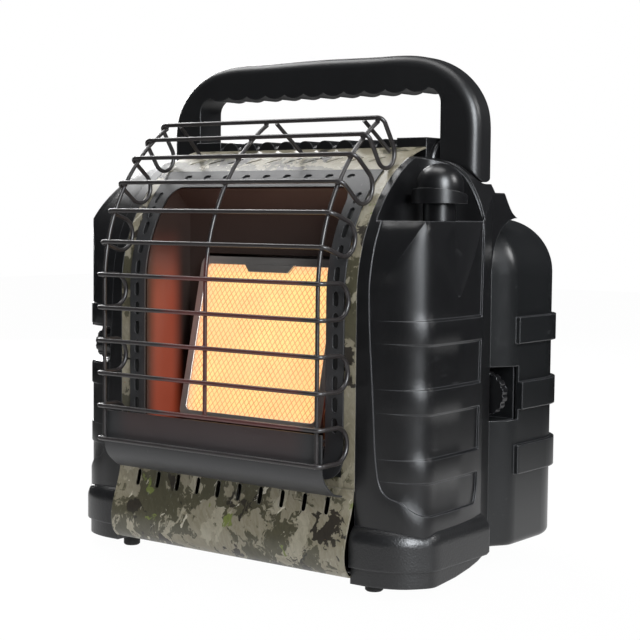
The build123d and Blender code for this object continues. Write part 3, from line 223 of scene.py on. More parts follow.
# %% Soft edges
# The Bevel node looks a short way round each point and gives the normal that a rounded edge would
# have. Where it differs from the surface's own normal there is an edge, which also gives a mask.
def bevelled(tree, radius, samples):
    """The normal of a rounded edge, and how closely it agrees with the surface's own (1 is equal)."""
    normal = node(tree, "Bevel", {"Radius": radius}, samples=samples).outputs[0]
    feeds = {0: normal, 1: own_normal(tree)}
    return normal, node(tree, "VectorMath", feeds, operation="DOT_PRODUCT").outputs["Value"]


edge_begins, edge_full = 0.995, 0.86
tree, inside, outside = group("soft_edges", {"Radius": 0.001}, {"Normal": "Vector", "Edge": "Float"})
normal, agreement = bevelled(tree, inside["Radius"], samples=6)
tree.links.new(normal, outside.inputs["Normal"])
tree.links.new(ramp(tree, agreement, edge_begins, edge_full), outside.inputs["Edge"])

# %% Flowing corners
# The housings' front corners are tighter in the construction model than on the real heater. A second
# Bevel node with a wide radius shades them as if they flowed into the arch, and leaves the shape as it
# is. It is used only at the front corners, and where it stays close to the surface's own normal, so
# creases and band edges keep the narrow one.
corner_begins, corner_full = 0.118, 0.126
front_begins, front_full = -0.030, -0.045
crease, gentle = 0.86, 0.93

tree, inside, outside = group(
    "flowing_corner", {"Radius": 0.010, "Narrow": 0.001}, {"Normal": "Vector"}
)
narrow = node(tree, "Bevel", {"Radius": inside["Narrow"]}, samples=5).outputs[0]
wide, agreement = bevelled(tree, inside["Radius"], samples=10)
parts = split(tree, frame_place(tree))
at_corner = ramp(tree, calc(tree, "ABSOLUTE", parts["X"]), corner_begins, corner_full)
at_front = ramp(tree, parts["Y"], front_begins, front_full)
smooth = times(tree, at_corner, at_front, ramp(tree, agreement, crease, gentle))
blend = node(tree, "Mix", {0: smooth, 4: narrow, 5: wide}, data_type="VECTOR").outputs[1]
unit = node(tree, "VectorMath", {0: blend}, operation="NORMALIZE")
tree.links.new(unit.outputs[0], outside.inputs["Normal"])

# %% Mould grain
# Spark-eroded tools leave a fine pebbled skin: a cell pattern for the pebbles over a soft noise. A
# broad noise is the tone in which one stretch of a surface differs from the next.
tree, inside, outside = group(
    "mould_grain", {"Size": 0.0008, "Pebble": 0.5}, {"Height": "Float", "Tone": "Float"}
)
place = frame_place(tree)
fine_scale = calc(tree, "DIVIDE", 1.0, inside["Size"])
cells = node(tree, "TexVoronoi", {"Vector": place, "Scale": fine_scale}, feature="SMOOTH_F1")
cloud = noise(tree, place, fine_scale)
pebbles = times(tree, cells.outputs["Distance"], inside["Pebble"])
tree.links.new(calc(tree, "SUBTRACT", cloud, pebbles), outside.inputs["Height"])
tree.links.new(noise(tree, place, 14.0, detail=4.0, roughness=0.6), outside.inputs["Tone"])

# %% Scuffs and dust
# A scuff is a thin line of a noise that is stretched far along one direction, in patches. Dust lies in
# specks on what faces up.
scuff_turn, scuff_stretch = (0.3, 0.5, 0.2), (900.0, 60.0, 240.0)

tree, inside, outside = group(
    "handling", {"Scuffs": 0.5, "Dust": 0.3}, {"Scuff": "Float", "Dust": "Float"}
)
place = frame_place(tree)
stretched = node(tree, "Mapping", {"Vector": place, "Rotation": scuff_turn, "Scale": scuff_stretch})
fine_lines = ramp(tree, noise(tree, stretched.outputs[0], 1.0, detail=1.0), 0.66, 0.80)
patches = ramp(tree, noise(tree, place, 22.0, detail=3.0), 0.45, 0.70)
scuff = times(tree, fine_lines, patches, inside["Scuffs"])
upward = ramp(tree, split(tree, own_normal(tree))["Z"], 0.45, 1.0)
specks = ramp(tree, noise(tree, place, 160.0, detail=5.0), 0.35, 0.75)
dust = times(tree, upward, specks, inside["Dust"])
tree.links.new(scuff, outside.inputs["Scuff"])
tree.links.new(dust, outside.inputs["Dust"])

# %% Nearness to the burner
# This mask places the tile's own hottest glow, and the painted red glow that stands for the
# burner's light on the steel round it. It is 1 beside the tile and fades with the distance from it,
# measured in the frame's own coordinates, so it stays where the burner is from any side.
burner_low, burner_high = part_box("burner_tile")
burner_middle = (burner_low + burner_high) / 2
tree, inside, outside = group(
    "burner_nearness",
    {"HalfWidth": 0.08, "HalfHeight": 0.07, "Fade": 0.03, "Aside": 0.0},
    {"Nearness": "Float"},
)
parts = split(tree, vector_calc(tree, "SUBTRACT", frame_place(tree), burner_middle))
aside = calc(tree, "SUBTRACT", parts["X"], inside["Aside"])
masks = []
for from_middle, reach in ((aside, "HalfWidth"), (parts["Z"], "HalfHeight")):
    away = calc(tree, "SUBTRACT", calc(tree, "ABSOLUTE", from_middle), inside[reach])
    masks.append(ramp(tree, calc(tree, "DIVIDE", away, inside["Fade"]), 1.0, 0.0))
tree.links.new(times(tree, *masks), outside.inputs["Nearness"])
print("node groups:", sorted(g.name for g in bpy.data.node_groups))

# %% [markdown]
# ## Finishes
#
# The record names one material slot for each piece. Every slot gets one finish here, and each finish
# starts from an empty Principled surface. Colours are written in linear values, the way the shader
# takes them. The black mouldings are about 0.006, which is darker than real black plastic (0.02 or
# more) and suits the light of this studio.

# %% Starting a finish
finishes = {}
no_light = (0.0, 0.0, 0.0, 1.0)


def new_finish(slot, **constants):
    """A material with one Principled surface; constants go on the shader's own sockets."""
    material = bpy.data.materials.new(slot)
    material.use_nodes = True
    tree = material.node_tree
    surface = tree.nodes["Principled BSDF"]
    for label, value in constants.items():
        surface.inputs[label.replace("_", " ")].default_value = value
    finishes[slot] = material
    return tree, surface.inputs


def two_tones(tree, tone, colour, times_as_light):
    """A colour that drifts with the tone towards a lighter or a duller one of the same hue."""
    other = [channel * times_as_light for channel in colour]
    return mix(tree, tone, [*colour, 1.0], [*other, 1.0])


def uneven_roughness(tree, tone, roughness, spread):
    """The given roughness where the tone is 0.5, and half the spread to each side of it."""
    return calc(tree, "MULTIPLY_ADD", tone, spread, roughness - spread / 2)


# %% [markdown]
# ### Moulded plastics
#
# The housings, cover, bumpers, handle and knob are injection mouldings in black polypropylene or
# nylon. They differ in how coarse the tool's grain is and in how much they shine, so one function
# makes them all, and the rubber feet and the regulator's red cap with them.

# %% Moulded plastics
rubbed_edge = (0.09, 0.09, 0.095, 1.0)
plastic_scuff = (0.07, 0.07, 0.072, 1.0)
plastic_dust = (0.16, 0.155, 0.15, 1.0)


def moulded(slot, colour, roughness, grain, depth, edge_radius, edge_tone, dust, flowing=0.0):
    """Moulded plastic or rubber; flowing is the radius of the flowing corners, if it has them."""
    tree, surface = new_finish(slot)
    edges = place_group(tree, "soft_edges", Radius=edge_radius)
    normal = edges["Normal"]
    if flowing:
        normal = place_group(tree, "flowing_corner", Radius=flowing, Narrow=edge_radius)["Normal"]
    skin = place_group(tree, "mould_grain", Size=grain, Pebble=0.6)
    wear = place_group(tree, "handling", Scuffs=0.2, Dust=dust)
    base = two_tones(tree, skin["Tone"], colour, 1.5)
    base = mix(tree, times(tree, edges["Edge"], edge_tone), base, rubbed_edge)
    base = mix(tree, wear["Scuff"], base, plastic_scuff)
    base = mix(tree, wear["Dust"], base, plastic_dust)
    tree.links.new(base, surface["Base Color"])
    uneven = uneven_roughness(tree, skin["Tone"], roughness, 0.12)
    dusty = calc(tree, "ADD", uneven, times(tree, wear["Dust"], 0.4))
    tree.links.new(dusty, surface["Roughness"])
    set_bump(tree, surface, skin["Height"], normal, depth)


moulded("housing_plastic", (0.0055, 0.0055, 0.006), roughness=0.30, grain=0.0007, depth=0.00003,
        edge_radius=0.0011, edge_tone=0.9, dust=0.04, flowing=0.013)
moulded("cover_plastic", (0.0065, 0.0070, 0.0075), roughness=0.31, grain=0.0007, depth=0.00003,
        edge_radius=0.0014, edge_tone=0.6, dust=0.05)
moulded("bumper_plastic", (0.0075, 0.0075, 0.008), roughness=0.36, grain=0.0013, depth=0.00014,
        edge_radius=0.0018, edge_tone=0.4, dust=0.08)
moulded("handle_plastic", (0.0065, 0.0065, 0.007), roughness=0.40, grain=0.0010, depth=0.00005,
        edge_radius=0.0014, edge_tone=0.3, dust=0.04)
moulded("knob_plastic", (0.004, 0.004, 0.0045), roughness=0.30, grain=0.0030, depth=0.00001,
        edge_radius=0.0007, edge_tone=0.4, dust=0.04)
moulded("foot_rubber", (0.006, 0.006, 0.006), roughness=0.70, grain=0.0010, depth=0.00010,
        edge_radius=0.0008, edge_tone=0.2, dust=0.02)
moulded("regulator_red", (0.36, 0.012, 0.010), roughness=0.30, grain=0.0014, depth=0.00003,
        edge_radius=0.0008, edge_tone=0.0, dust=0.05)

# %% [markdown]
# ### Coated and bare steel
#
# Powder coat is a thick matt skin with a slight orange-peel. The guard is dip-coated and smoother.
# Both carry a painted glow where they stand in front of the burner: a weak red emission under the
# burner mask, which stands for the burner's light falling on them.

# %% Coated steel
coat_edge = (0.10, 0.10, 0.10, 1.0)
coat_wear = (0.12, 0.115, 0.11, 1.0)


def coated(slot, colour, roughness, peel, depth, edge_radius, glow, glow_reach):
    """Coated steel; glow is a painted red emission for the burner's light on it, where the burner mask,
    placed with the last argument's values, is 1.
    """
    tree, surface = new_finish(slot, Emission_Strength=1.0)
    edges = place_group(tree, "soft_edges", Radius=edge_radius)
    skin = place_group(tree, "mould_grain", Size=peel, Pebble=0.2)
    wear = place_group(tree, "handling", Scuffs=0.5, Dust=0.08)
    burner_mask = place_group(tree, "burner_nearness", **glow_reach)
    base = two_tones(tree, skin["Tone"], colour, 1.4)
    base = mix(tree, times(tree, edges["Edge"], 0.3), base, coat_edge)
    base = mix(tree, calc(tree, "ADD", wear["Scuff"], wear["Dust"]), base, coat_wear)
    tree.links.new(base, surface["Base Color"])
    tree.links.new(uneven_roughness(tree, skin["Tone"], roughness, 0.14), surface["Roughness"])
    # Painted light: a red emission where the burner mask is 1 stands for the burner's light on the steel
    # in front of it.
    tree.links.new(mix(tree, burner_mask["Nearness"], no_light, [*glow, 1.0]), surface["Emission Color"])
    set_bump(tree, surface, skin["Height"], edges["Normal"], depth)


coated("black_steel", (0.022, 0.022, 0.023), roughness=0.46, peel=0.0022, depth=0.00005,
       edge_radius=0.0006, glow=(0.012, 0.002, 0.001),
       glow_reach={"HalfWidth": 0.075, "HalfHeight": 0.06, "Fade": 0.02})
coated("guard_wire", (0.020, 0.017, 0.017), roughness=0.34, peel=0.0016, depth=0.00003,
       edge_radius=0.0004, glow=(0.050, 0.006, 0.004),
       glow_reach={"HalfWidth": 0.058, "HalfHeight": 0.058, "Fade": 0.012, "Aside": 0.026})

# %% Bare metals
polished_edge = (0.86, 0.86, 0.86, 1.0)


def bare(slot, colour, roughness, streak_scale, depth, edge_radius):
    """Rolled, drawn or cast metal: streaks along the rolling direction and a dull film in patches."""
    tree, surface = new_finish(slot, Metallic=1.0)
    edges = place_group(tree, "soft_edges", Radius=edge_radius)
    drawn = node(tree, "Mapping", {"Vector": frame_place(tree), "Scale": streak_scale})
    streaks = noise(tree, drawn.outputs[0], 1.0, detail=3.0)
    film = place_group(tree, "mould_grain", Size=0.003, Pebble=0.3)
    base = two_tones(tree, film["Tone"], colour, 0.72)
    base = mix(tree, times(tree, edges["Edge"], 0.35), base, polished_edge)
    tree.links.new(base, surface["Base Color"])
    tree.links.new(uneven_roughness(tree, streaks, roughness, 0.22), surface["Roughness"])
    set_bump(tree, surface, streaks, edges["Normal"], depth)


bare("burner_steel", (0.66, 0.63, 0.59), roughness=0.46, streak_scale=(30.0, 900.0, 900.0),
     depth=0.00002, edge_radius=0.0008)
bare("galvanised", (0.50, 0.51, 0.52), roughness=0.48, streak_scale=(240.0, 240.0, 240.0),
     depth=0.00003, edge_radius=0.0006)
bare("brass", (0.66, 0.46, 0.20), roughness=0.28, streak_scale=(900.0, 900.0, 60.0),
     depth=0.00001, edge_radius=0.0005)
bare("copper_probe", (0.62, 0.32, 0.18), roughness=0.34, streak_scale=(900.0, 900.0, 60.0),
     depth=0.00001, edge_radius=0.0004)
bare("aluminium_tube", (0.72, 0.72, 0.73), roughness=0.32, streak_scale=(400.0, 400.0, 400.0),
     depth=0.00001, edge_radius=0.0005)
bare("zinc_casting", (0.48, 0.48, 0.49), roughness=0.55, streak_scale=(700.0, 700.0, 700.0),
     depth=0.00008, edge_radius=0.0010)
print("finishes so far:", sorted(finishes))

# %% [markdown]
# ### The reflector
#
# The box round the burner is dark heat-stained steel. Its cheeks face the hot tile from close by, and
# the band of orange-red light that they throw back is painted on as an emission, which dies away
# towards the front lip, the rear corner and the top; a faint painted red glow lies on the top of the
# box. A band that depends on where a point lies is a product of smooth steps along Y and along Z.

# %% Reflector finish
cheek_begins, cheek_full = 0.080, 0.085
front_lip, rear_corner = (-0.094, -0.080), (-0.066, -0.050)
floor_line, up_the_cheek = (0.098, 0.110), (0.190, 0.258)
ceiling_begins, ceiling_full = 0.225, 0.29


def band(tree, value, rise, fall):
    """1 between the two flanks; rise and fall are where each flank starts and ends."""
    return times(tree, ramp(tree, value, *rise), ramp(tree, value, fall[1], fall[0]))


tree, surface = new_finish("reflector_steel", Metallic=0.35, Emission_Strength=1.0)
place = frame_place(tree)
parts = split(tree, place)
stain = noise(tree, place, 18.0, detail=4.0)
stained = mix(tree, stain, (0.030, 0.020, 0.017, 1.0), (0.055, 0.032, 0.024, 1.0))
tree.links.new(stained, surface["Base Color"])
tree.links.new(uneven_roughness(tree, stain, 0.48, 0.2), surface["Roughness"])
# Painted reflection: the burner's orange-red light on the cheeks is an emission band here, with a faint
# painted red glow on the top of the box outside it.
cheek = ramp(tree, calc(tree, "ABSOLUTE", parts["X"]), cheek_begins, cheek_full)
depth_band = band(tree, parts["Y"], front_lip, rear_corner)
height_band = band(tree, parts["Z"], floor_line, up_the_cheek)
glow = times(tree, depth_band, height_band, cheek)
painted_cheek_reflection = mix(tree, stain, (0.20, 0.032, 0.014, 1.0), (0.26, 0.046, 0.021, 1.0))
ceiling = ramp(tree, parts["Z"], ceiling_begins, ceiling_full)
painted_top_glow = mix(tree, ceiling, no_light, (0.010, 0.0035, 0.002, 1.0))
tree.links.new(mix(tree, glow, painted_top_glow, painted_cheek_reflection), surface["Emission Color"])

# %% [markdown]
# ### The glowing burner
#
# A radiant burner is a ceramic tile with thousands of small holes, and the gas burns on its face
# until the face glows. An expanded-metal screen stands just in front of it. The tile is an emitter:
# pale yellow where it is hottest, and pinker along its edges where it loses heat. The holes are
# a fine cell pattern, which makes the glow uneven from close by.

# %% Ceramic tile
pore_glow = (0.95, 0.55, 0.22, 1.0)

tree, surface = new_finish("ceramic", Emission_Strength=1.0, Roughness=0.9)
place = frame_place(tree)
holes = node(tree, "TexVoronoi", {"Vector": place, "Scale": 520.0}).outputs["Distance"]
pore = ramp(tree, holes, 0.10, 0.42)
cooler = noise(tree, place, 26.0)
burner_mask = place_group(tree, "burner_nearness", HalfWidth=0.052, HalfHeight=0.048, Fade=0.014)
rim_glow = mix(tree, cooler, (1.0, 0.50, 0.28, 1.0), (1.0, 0.62, 0.36, 1.0))
hottest = ramp(tree, cooler, 0.35, 0.62)
body_glow = mix(tree, hottest, (0.96, 0.70, 0.27, 1.0), (0.96, 0.82, 0.28, 1.0))
glow = mix(tree, burner_mask["Nearness"], rim_glow, body_glow)
glow = mix(tree, times(tree, pore, 0.30), glow, pore_glow)
near_burner = place_group(tree, "burner_nearness", HalfWidth=0.070, HalfHeight=0.066, Fade=0.002)
front_face = ramp(tree, split(tree, own_normal(tree))["Y"], -0.6, -0.9)
lit = times(tree, near_burner["Nearness"], front_face)
tree.links.new(mix(tree, lit, no_light, glow), surface["Emission Color"])
unlit = mix(tree, cooler, (0.20, 0.15, 0.10, 1.0), (0.28, 0.22, 0.15, 1.0))
tree.links.new(unlit, surface["Base Color"])
set_bump(tree, surface, holes, normal=None, depth=0.0002)

# %% Screen wires
tree, surface = new_finish("burner_mesh", Emission_Strength=1.0, Roughness=0.6)
unevenness = noise(tree, frame_place(tree), 60.0)
hot_wire = mix(tree, unevenness, (0.62, 0.20, 0.07, 1.0), (0.86, 0.42, 0.18, 1.0))
cold_wire = mix(tree, unevenness, (0.20, 0.08, 0.05, 1.0), (0.32, 0.14, 0.08, 1.0))
tree.links.new(hot_wire, surface["Emission Color"])
tree.links.new(cold_wire, surface["Base Color"])

# %% [markdown]
# ### Printed camouflage
#
# The front sheet and the lower panel are printed steel under a satin lacquer. The print here is a
# plain layered camouflage of its own: a tan ground, torn olive and umber blotches, long pale fibres
# that lean to one side, and small flecks of moss green and rust. Each layer is one blotch group, a
# noise whose coordinates are bent by a second noise, cut at a level. A few such layers laid over
# each other already read as foliage in shade, without a drawn motif.

# %% Blotch group
tree, inside, outside = group(
    "blotch",
    {
        "ScaleX": 30.0, "ScaleY": 30.0, "ScaleZ": 30.0, "Lean": 0.0,
        "Bend": 0.02, "Level": 0.5, "Edge": 0.03, "Seed": 0.0,
    },
    {"Mask": "Float"},
)
shift = node(tree, "CombineXYZ", {axis: inside["Seed"] for axis in range(3)})
moved = vector_calc(tree, "ADD", frame_place(tree), shift.outputs[0])
curl = node(tree, "TexNoise", {"Vector": moved, "Scale": 45.0, "Detail": 3.0})
centred = vector_calc(tree, "SUBTRACT", curl.outputs["Color"], (0.5, 0.5, 0.5))
push = node(tree, "VectorMath", {0: centred, "Scale": inside["Bend"]}, operation="SCALE")
bent = vector_calc(tree, "ADD", moved, push.outputs[0])
lean = {"Vector": bent, "Angle": inside["Lean"]}
leaning = node(tree, "VectorRotate", lean, rotation_type="Y_AXIS")
stretch = node(tree, "CombineXYZ", {0: inside["ScaleX"], 1: inside["ScaleY"], 2: inside["ScaleZ"]})
sized = vector_calc(tree, "MULTIPLY", leaning.outputs[0], stretch.outputs[0])
field = noise(tree, sized, 1.0, detail=5.0, roughness=0.6)
above = calc(tree, "SUBTRACT", field, inside["Level"])
mask = ramp(tree, calc(tree, "DIVIDE", above, inside["Edge"]), 0.0, 1.0)
tree.links.new(mask, outside.inputs["Mask"])


def blotches(tree, level_scale, upright_scale, lean, bend, level, edge, seed):
    """The mask of one layer; its blotches are finer where a scale is larger."""
    cut = place_group(tree, "blotch", ScaleX=level_scale, ScaleY=level_scale, ScaleZ=upright_scale,
                      Lean=lean, Bend=bend, Level=level, Edge=edge, Seed=seed)
    return cut["Mask"]


# %% Printed sheet
ground_dark, ground_pale = (0.20, 0.175, 0.115, 1.0), (0.34, 0.31, 0.23, 1.0)
fibre_shade = (0.45, 0.42, 0.38, 1.0)
white = (1.0, 1.0, 1.0, 1.0)
painted_slot_shade = (0.004, 0.004, 0.004, 1.0)
sheet_edge = (0.40, 0.40, 0.40, 1.0)
sheet_scuff = (0.55, 0.54, 0.50, 1.0)
layers = [
    # colour, and the blotches that it is cut to: scales, lean, bend, level, edge and seed
    ((0.075, 0.068, 0.038), (22.0, 15.0, 0.5, 0.05, 0.50, 0.02, 3.1)),  # olive
    ((0.33, 0.30, 0.22), (60.0, 17.0, -0.4, 0.03, 0.56, 0.03, 9.4)),  # pale tan
    ((0.030, 0.024, 0.016), (34.0, 20.0, 0.9, 0.05, 0.575, 0.015, 17.7)),  # umber
    ((0.52, 0.48, 0.38), (150.0, 16.0, -0.55, 0.02, 0.66, 0.03, 5.6)),  # pale fibres
    ((0.16, 0.19, 0.045), (70.0, 60.0, 0.2, 0.03, 0.665, 0.02, 27.2)),  # moss green
    ((0.30, 0.12, 0.035), (80.0, 60.0, 1.1, 0.03, 0.70, 0.02, 31.9)),  # rust
]

bezel_low, bezel_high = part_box("bezel")
tree, surface = new_finish("printed_sheet", Coat_Weight=0.25, Coat_Roughness=0.25)
fibres = blotches(tree, 420.0, 26.0, lean=0.45, bend=0.02, level=0.30, edge=0.5, seed=1.3)
colour = mix(tree, fibres, ground_dark, ground_pale)
for tint, cut in layers:
    colour = mix(tree, blotches(tree, *cut), colour, [*tint, 1.0])
shade = mix(tree, times(tree, fibres, 0.45), white, fibre_shade)
colour = mix(tree, 1.0, colour, shade, blend="MULTIPLY")
edges = place_group(tree, "soft_edges", Radius=0.0006)
wear = place_group(tree, "handling", Scuffs=0.4, Dust=0.05)

# The print stops a little inside the black bezel's outline, where the sheet is painted black as painted
# shade, so that the bezel's slots look dark.
parts = split(tree, frame_place(tree))
side_distance = calc(tree, "ABSOLUTE", parts["X"])
across = ramp(tree, side_distance, bezel_high.x - 0.0015, bezel_high.x - 0.002)
below_top = ramp(tree, parts["Z"], bezel_high.z - 0.0025, bezel_high.z - 0.003)
above_foot = ramp(tree, parts["Z"], bezel_low.z + 0.002, bezel_low.z + 0.003)
shaded_behind_bezel = times(tree, below_top, above_foot, across)
colour = mix(tree, shaded_behind_bezel, colour, painted_slot_shade)
colour = mix(tree, times(tree, edges["Edge"], 0.25), colour, sheet_edge)
colour = mix(tree, wear["Scuff"], colour, sheet_scuff)
tree.links.new(colour, surface["Base Color"])
tree.links.new(uneven_roughness(tree, fibres, 0.42, 0.12), surface["Roughness"])
set_bump(tree, surface, fibres, edges["Normal"], depth=0.00002)

# %% [markdown]
# ## Dress the construction pieces
#
# The record lists the slot of every piece, so dressing them is one loop. The meshes themselves stay
# as they are.

# %% Assign finishes
slot_of = {part["node"]: part["material_slot"] for part in frame["record"]["subparts"]}
for name, piece in frame["nodes"].items():
    for material_slot in piece.material_slots:
        material_slot.material = finishes[slot_of[name]]
print("dressed", len(slot_of), "pieces in", len(set(slot_of.values())), "finishes")

# %% [markdown]
# ## The expanded-metal screen
#
# The construction model holds the screen as a thin plate. The real one is slit and stretched sheet:
# a net of diamonds, taller than wide. Two families of straight strands that lean left and right give
# that net, and each strand is clipped to the screen's rectangle. The strands are laid out flat, where
# clipping is easy, and then moved into the burner's tilted plane.

# %% Screen
diamond_width = 0.0047
diamond_height = 0.0063
strand_radius = 0.00027
strand_lift = 0.6 * strand_radius  # each family lies this far in front of or behind the middle
shortest_strand = 0.002
rounding = 1e-6


def plane_of(node_name):
    """Matrix of a flat piece (X along it, Y up its slope, Z out of its front), and its corners."""
    mesh = frame["nodes"][node_name].data
    front = max((f for f in mesh.polygons if f.normal.y < -0.9), key=lambda f: f.area)
    out = front.normal.copy()
    along = Vector((1, 0, 0))
    slope = out.cross(along)
    corners = [v.co for v in mesh.vertices]
    centre = sum(corners, Vector()) / len(corners)
    return Matrix.Translation(centre) @ Matrix((along, slope, out)).transposed().to_4x4(), corners


screen_plane, screen_corners = plane_of("burner_screen")
flat_corners = [screen_plane.inverted() @ corner for corner in screen_corners]
half_width = max(corner.x for corner in flat_corners)
half_height = max(corner.y for corner in flat_corners)


def clipped_strand(start_x, lean):
    """The part of a leaning line, which crosses the middle height at start_x, that lies on the screen."""
    run = lean * diamond_width / diamond_height
    ends = []
    for y in (-half_height, half_height):
        x = start_x + run * y
        if abs(x) > half_width:
            x = math.copysign(half_width, x)
            y = (x - start_x) / run
        ends.append(Vector((x, y, 0)))
    inside_screen = all(abs(end.y) <= half_height + rounding for end in ends)
    return ends if inside_screen and (ends[1] - ends[0]).length > shortest_strand else None


def strands_piece(name, strands, radius, matrix):
    """One mesh of many straight round strands."""
    curve = bpy.data.curves.new(name, "CURVE")
    curve.dimensions = "3D"
    curve.bevel_depth = radius
    curve.bevel_resolution = 1
    for ends in strands:
        spline = curve.splines.new("POLY")
        spline.points.add(1)
        for point, end in zip(spline.points, ends):
            point.co = [*(matrix @ end), 1.0]
    holder = bpy.data.objects.new(name, curve)
    scene.collection.objects.link(holder)
    finished = holder.evaluated_get(bpy.context.evaluated_depsgraph_get())
    mesh = bpy.data.meshes.new_from_object(finished)
    bpy.data.objects.remove(holder)
    piece = bpy.data.objects.new(name, mesh)
    scene.collection.objects.link(piece)
    return piece


strands = []
strands_each_way = int((half_width + half_height) / diamond_width)
for lean in (-1, 1):
    for step in range(-strands_each_way, strands_each_way + 1):
        ends = clipped_strand(step * diamond_width, lean)
        if ends:
            lift = Vector((0, 0, lean * strand_lift))
            strands.append([end + lift for end in ends])
screen = strands_piece("burner_screen_net", strands, strand_radius, screen_plane)
screen.data.materials.clear()
screen.data.materials.append(finishes["burner_mesh"])
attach(screen, "heater")
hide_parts("burner_screen")
print("screen strands:", len(strands))

# %% [markdown]
# ## Weld beads
#
# Each front wire of the guard is resistance-welded to the uprights behind it, which leaves a small
# swelling at every crossing. The crossings follow from the guard's own layout: five level wires at the
# bottom and seven that climb the arc. The middle upright starts above the lowest wire.

# %% Weld beads
guard_front = -0.1272
lowest_wire, wire_pitch, straight_wires = 0.0925, 0.02495, 5
arc_radius, arc_height = 0.142, 0.210
climbs = [math.radians(angle) for angle in (2.9, 13.0, 23.0, 32.8, 42.5, 51.0, 59.8)]
upright_aside = 0.1013
bead_behind = 0.00156  # halfway between the middles of a wire and of the upright behind it
bead_half_sizes = (0.0021, 0.0019, 0.0021)

wire_places = [(guard_front, lowest_wire + wire_pitch * step) for step in range(straight_wires)]
for climb in climbs:
    back, rise = arc_radius * (1 - math.cos(climb)), arc_radius * math.sin(climb)
    wire_places.append((guard_front + back, arc_height + rise))

size = Matrix.Diagonal((*bead_half_sizes, 1.0))
welds = bmesh.new()
for upright_x in (-upright_aside, 0.0, upright_aside):
    for number, (y, z) in enumerate(wire_places):
        if upright_x == 0.0 and number == 0:
            continue
        climb = math.asin(min(1.0, max(0.0, (z - arc_height) / arc_radius)))
        behind = Vector((0, math.cos(climb), -math.sin(climb))) * bead_behind
        spot = Matrix.Translation(Vector((upright_x, y, z)) + behind)
        bmesh.ops.create_icosphere(welds, subdivisions=2, radius=1.0, matrix=spot @ size)
for face in welds.faces:
    face.smooth = True
weld_mesh = bpy.data.meshes.new("guard_welds")
welds.to_mesh(weld_mesh)
welds.free()
weld_piece = bpy.data.objects.new("guard_welds", weld_mesh)
scene.collection.objects.link(weld_piece)
weld_mesh.materials.append(finishes["guard_wire"])
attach(weld_piece, "heater")
print("weld beads:", 3 * len(wire_places) - 1)

# %% [markdown]
# ## The studio
#
# A black object shows its form only through what it reflects, so the lamps are large soft panels. The
# key stands at the front right, with a second one in its place that only shows as a sheen, which no
# real lamp does. A long one overhead draws the lines along the tops of the mouldings. Three more stand
# at the upper left, a little behind the right side, and at the rear left.
#
# The floor and the world are white for the camera, so the heater's shadow on the floor is very faint.
# Mirror rays see a dark world instead, and a floor that is white only close to the heater, which
# lights the lower edges of the mouldings. Matt surfaces see a grey world and a floor of lit paper.

# %% Lamps
def softbox(name, place, width, height, power, tint=(1, 1, 1), sheen_only=False):
    """A rectangular area lamp that faces the heater's middle; sheen_only lights no matt surface."""
    data = bpy.data.lights.new(name, "AREA")
    data.shape = "RECTANGLE"
    data.size = width
    data.size_y = height
    data.energy = power
    data.color = tint
    lamp = bpy.data.objects.new(name, data)
    lamp.location = place
    lamp.rotation_euler = (middle - place).to_track_quat("-Z", "Y").to_euler()
    lamp.visible_diffuse = not sheen_only
    scene.collection.objects.link(lamp)


def around(azimuth, elevation, distance=1.9):
    """A place seen from the heater's middle; azimuth 0 is straight in front, at -Y, and 90 is at +X."""
    turn, rise = math.radians(azimuth), math.radians(elevation)
    level = distance * math.cos(rise)
    return middle + Vector((level * math.sin(turn), -level * math.cos(turn), distance * math.sin(rise)))


daylight = (0.92, 0.96, 1.0)
key = {"place": around(azimuth=59, elevation=21), "width": 0.42, "height": 1.05, "tint": daylight}
softbox("key", power=20, **key)
softbox("key_sheen", power=62, sheen_only=True, **key)
softbox("overhead", around(azimuth=0, elevation=85, distance=1.7), width=1.2, height=0.7, power=13)
softbox("upper_left", around(azimuth=-97, elevation=52), width=0.9, height=0.6, power=15)
softbox("rear_side", around(azimuth=112, elevation=30), width=0.45, height=0.55, power=12)
softbox("rear_left", around(azimuth=-126, elevation=16), width=0.85, height=1.0, power=40)

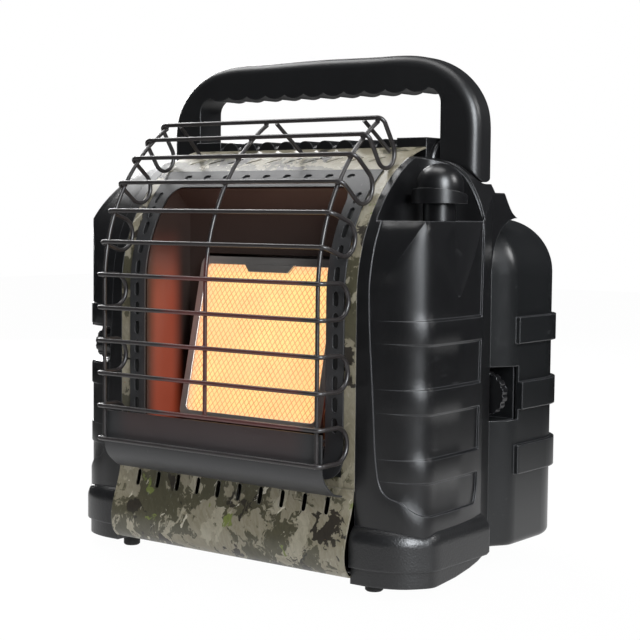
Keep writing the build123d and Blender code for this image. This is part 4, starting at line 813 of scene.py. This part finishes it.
# %% World and floor
world_for_matt = (0.27, 0.28, 0.29, 1.0)
world_for_mirrors = (0.040, 0.042, 0.046, 1.0)
half_floor = 4.0
mirrored_white_ends, mirrored_white_full = 0.95, 0.28
plain_white_share = 0.98


def ray_kinds(tree):
    """Two masks: rays from the camera or through glass, and mirror rays."""
    path = node(tree, "LightPath").outputs
    seen = calc(tree, "MAXIMUM", path["Is Camera Ray"], path["Is Transmission Ray"])
    return seen, path["Is Glossy Ray"]


world = bpy.data.worlds.new("studio")
world.use_nodes = True
scene.world = world
tree = world.node_tree
background = tree.nodes["Background"]
camera_sees, gloss_sees = ray_kinds(tree)
unseen = mix(tree, gloss_sees, world_for_matt, world_for_mirrors)
tree.links.new(mix(tree, camera_sees, unseen, white), background.inputs["Color"])

floor_mesh = bpy.data.meshes.new("floor")
floor_corners = [(x * half_floor, y * half_floor, 0) for x, y in ((-1, -1), (1, -1), (1, 1), (-1, 1))]
floor_mesh.from_pydata(floor_corners, [], [(0, 1, 2, 3)])
floor = bpy.data.objects.new("floor", floor_mesh)
scene.collection.objects.link(floor)

paper = bpy.data.materials.new("floor_paper")
paper.use_nodes = True
tree = paper.node_tree
lit_paper = tree.nodes["Principled BSDF"]
lit_paper.inputs["Base Color"].default_value = (0.86, 0.86, 0.86, 1.0)
lit_paper.inputs["Roughness"].default_value = 0.8
camera_sees, gloss_sees = ray_kinds(tree)
distance = node(tree, "VectorMath", {0: frame_place(tree)}, operation="LENGTH").outputs["Value"]
mirrored = ramp(tree, distance, mirrored_white_ends, mirrored_white_full)
strength = calc(tree, "MAXIMUM", camera_sees, mirrored)
plain = node(tree, "Emission", {"Color": white, "Strength": strength})
share = calc(tree, "MAXIMUM", times(tree, camera_sees, plain_white_share), gloss_sees)
blended = node(tree, "MixShader", {0: share, 1: lit_paper.outputs[0], 2: plain.outputs[0]})
tree.links.new(blended.outputs[0], tree.nodes["Material Output"].inputs["Surface"])
floor_mesh.materials.append(paper)

scene.view_settings.view_transform = "Standard"
print("studio is ready")
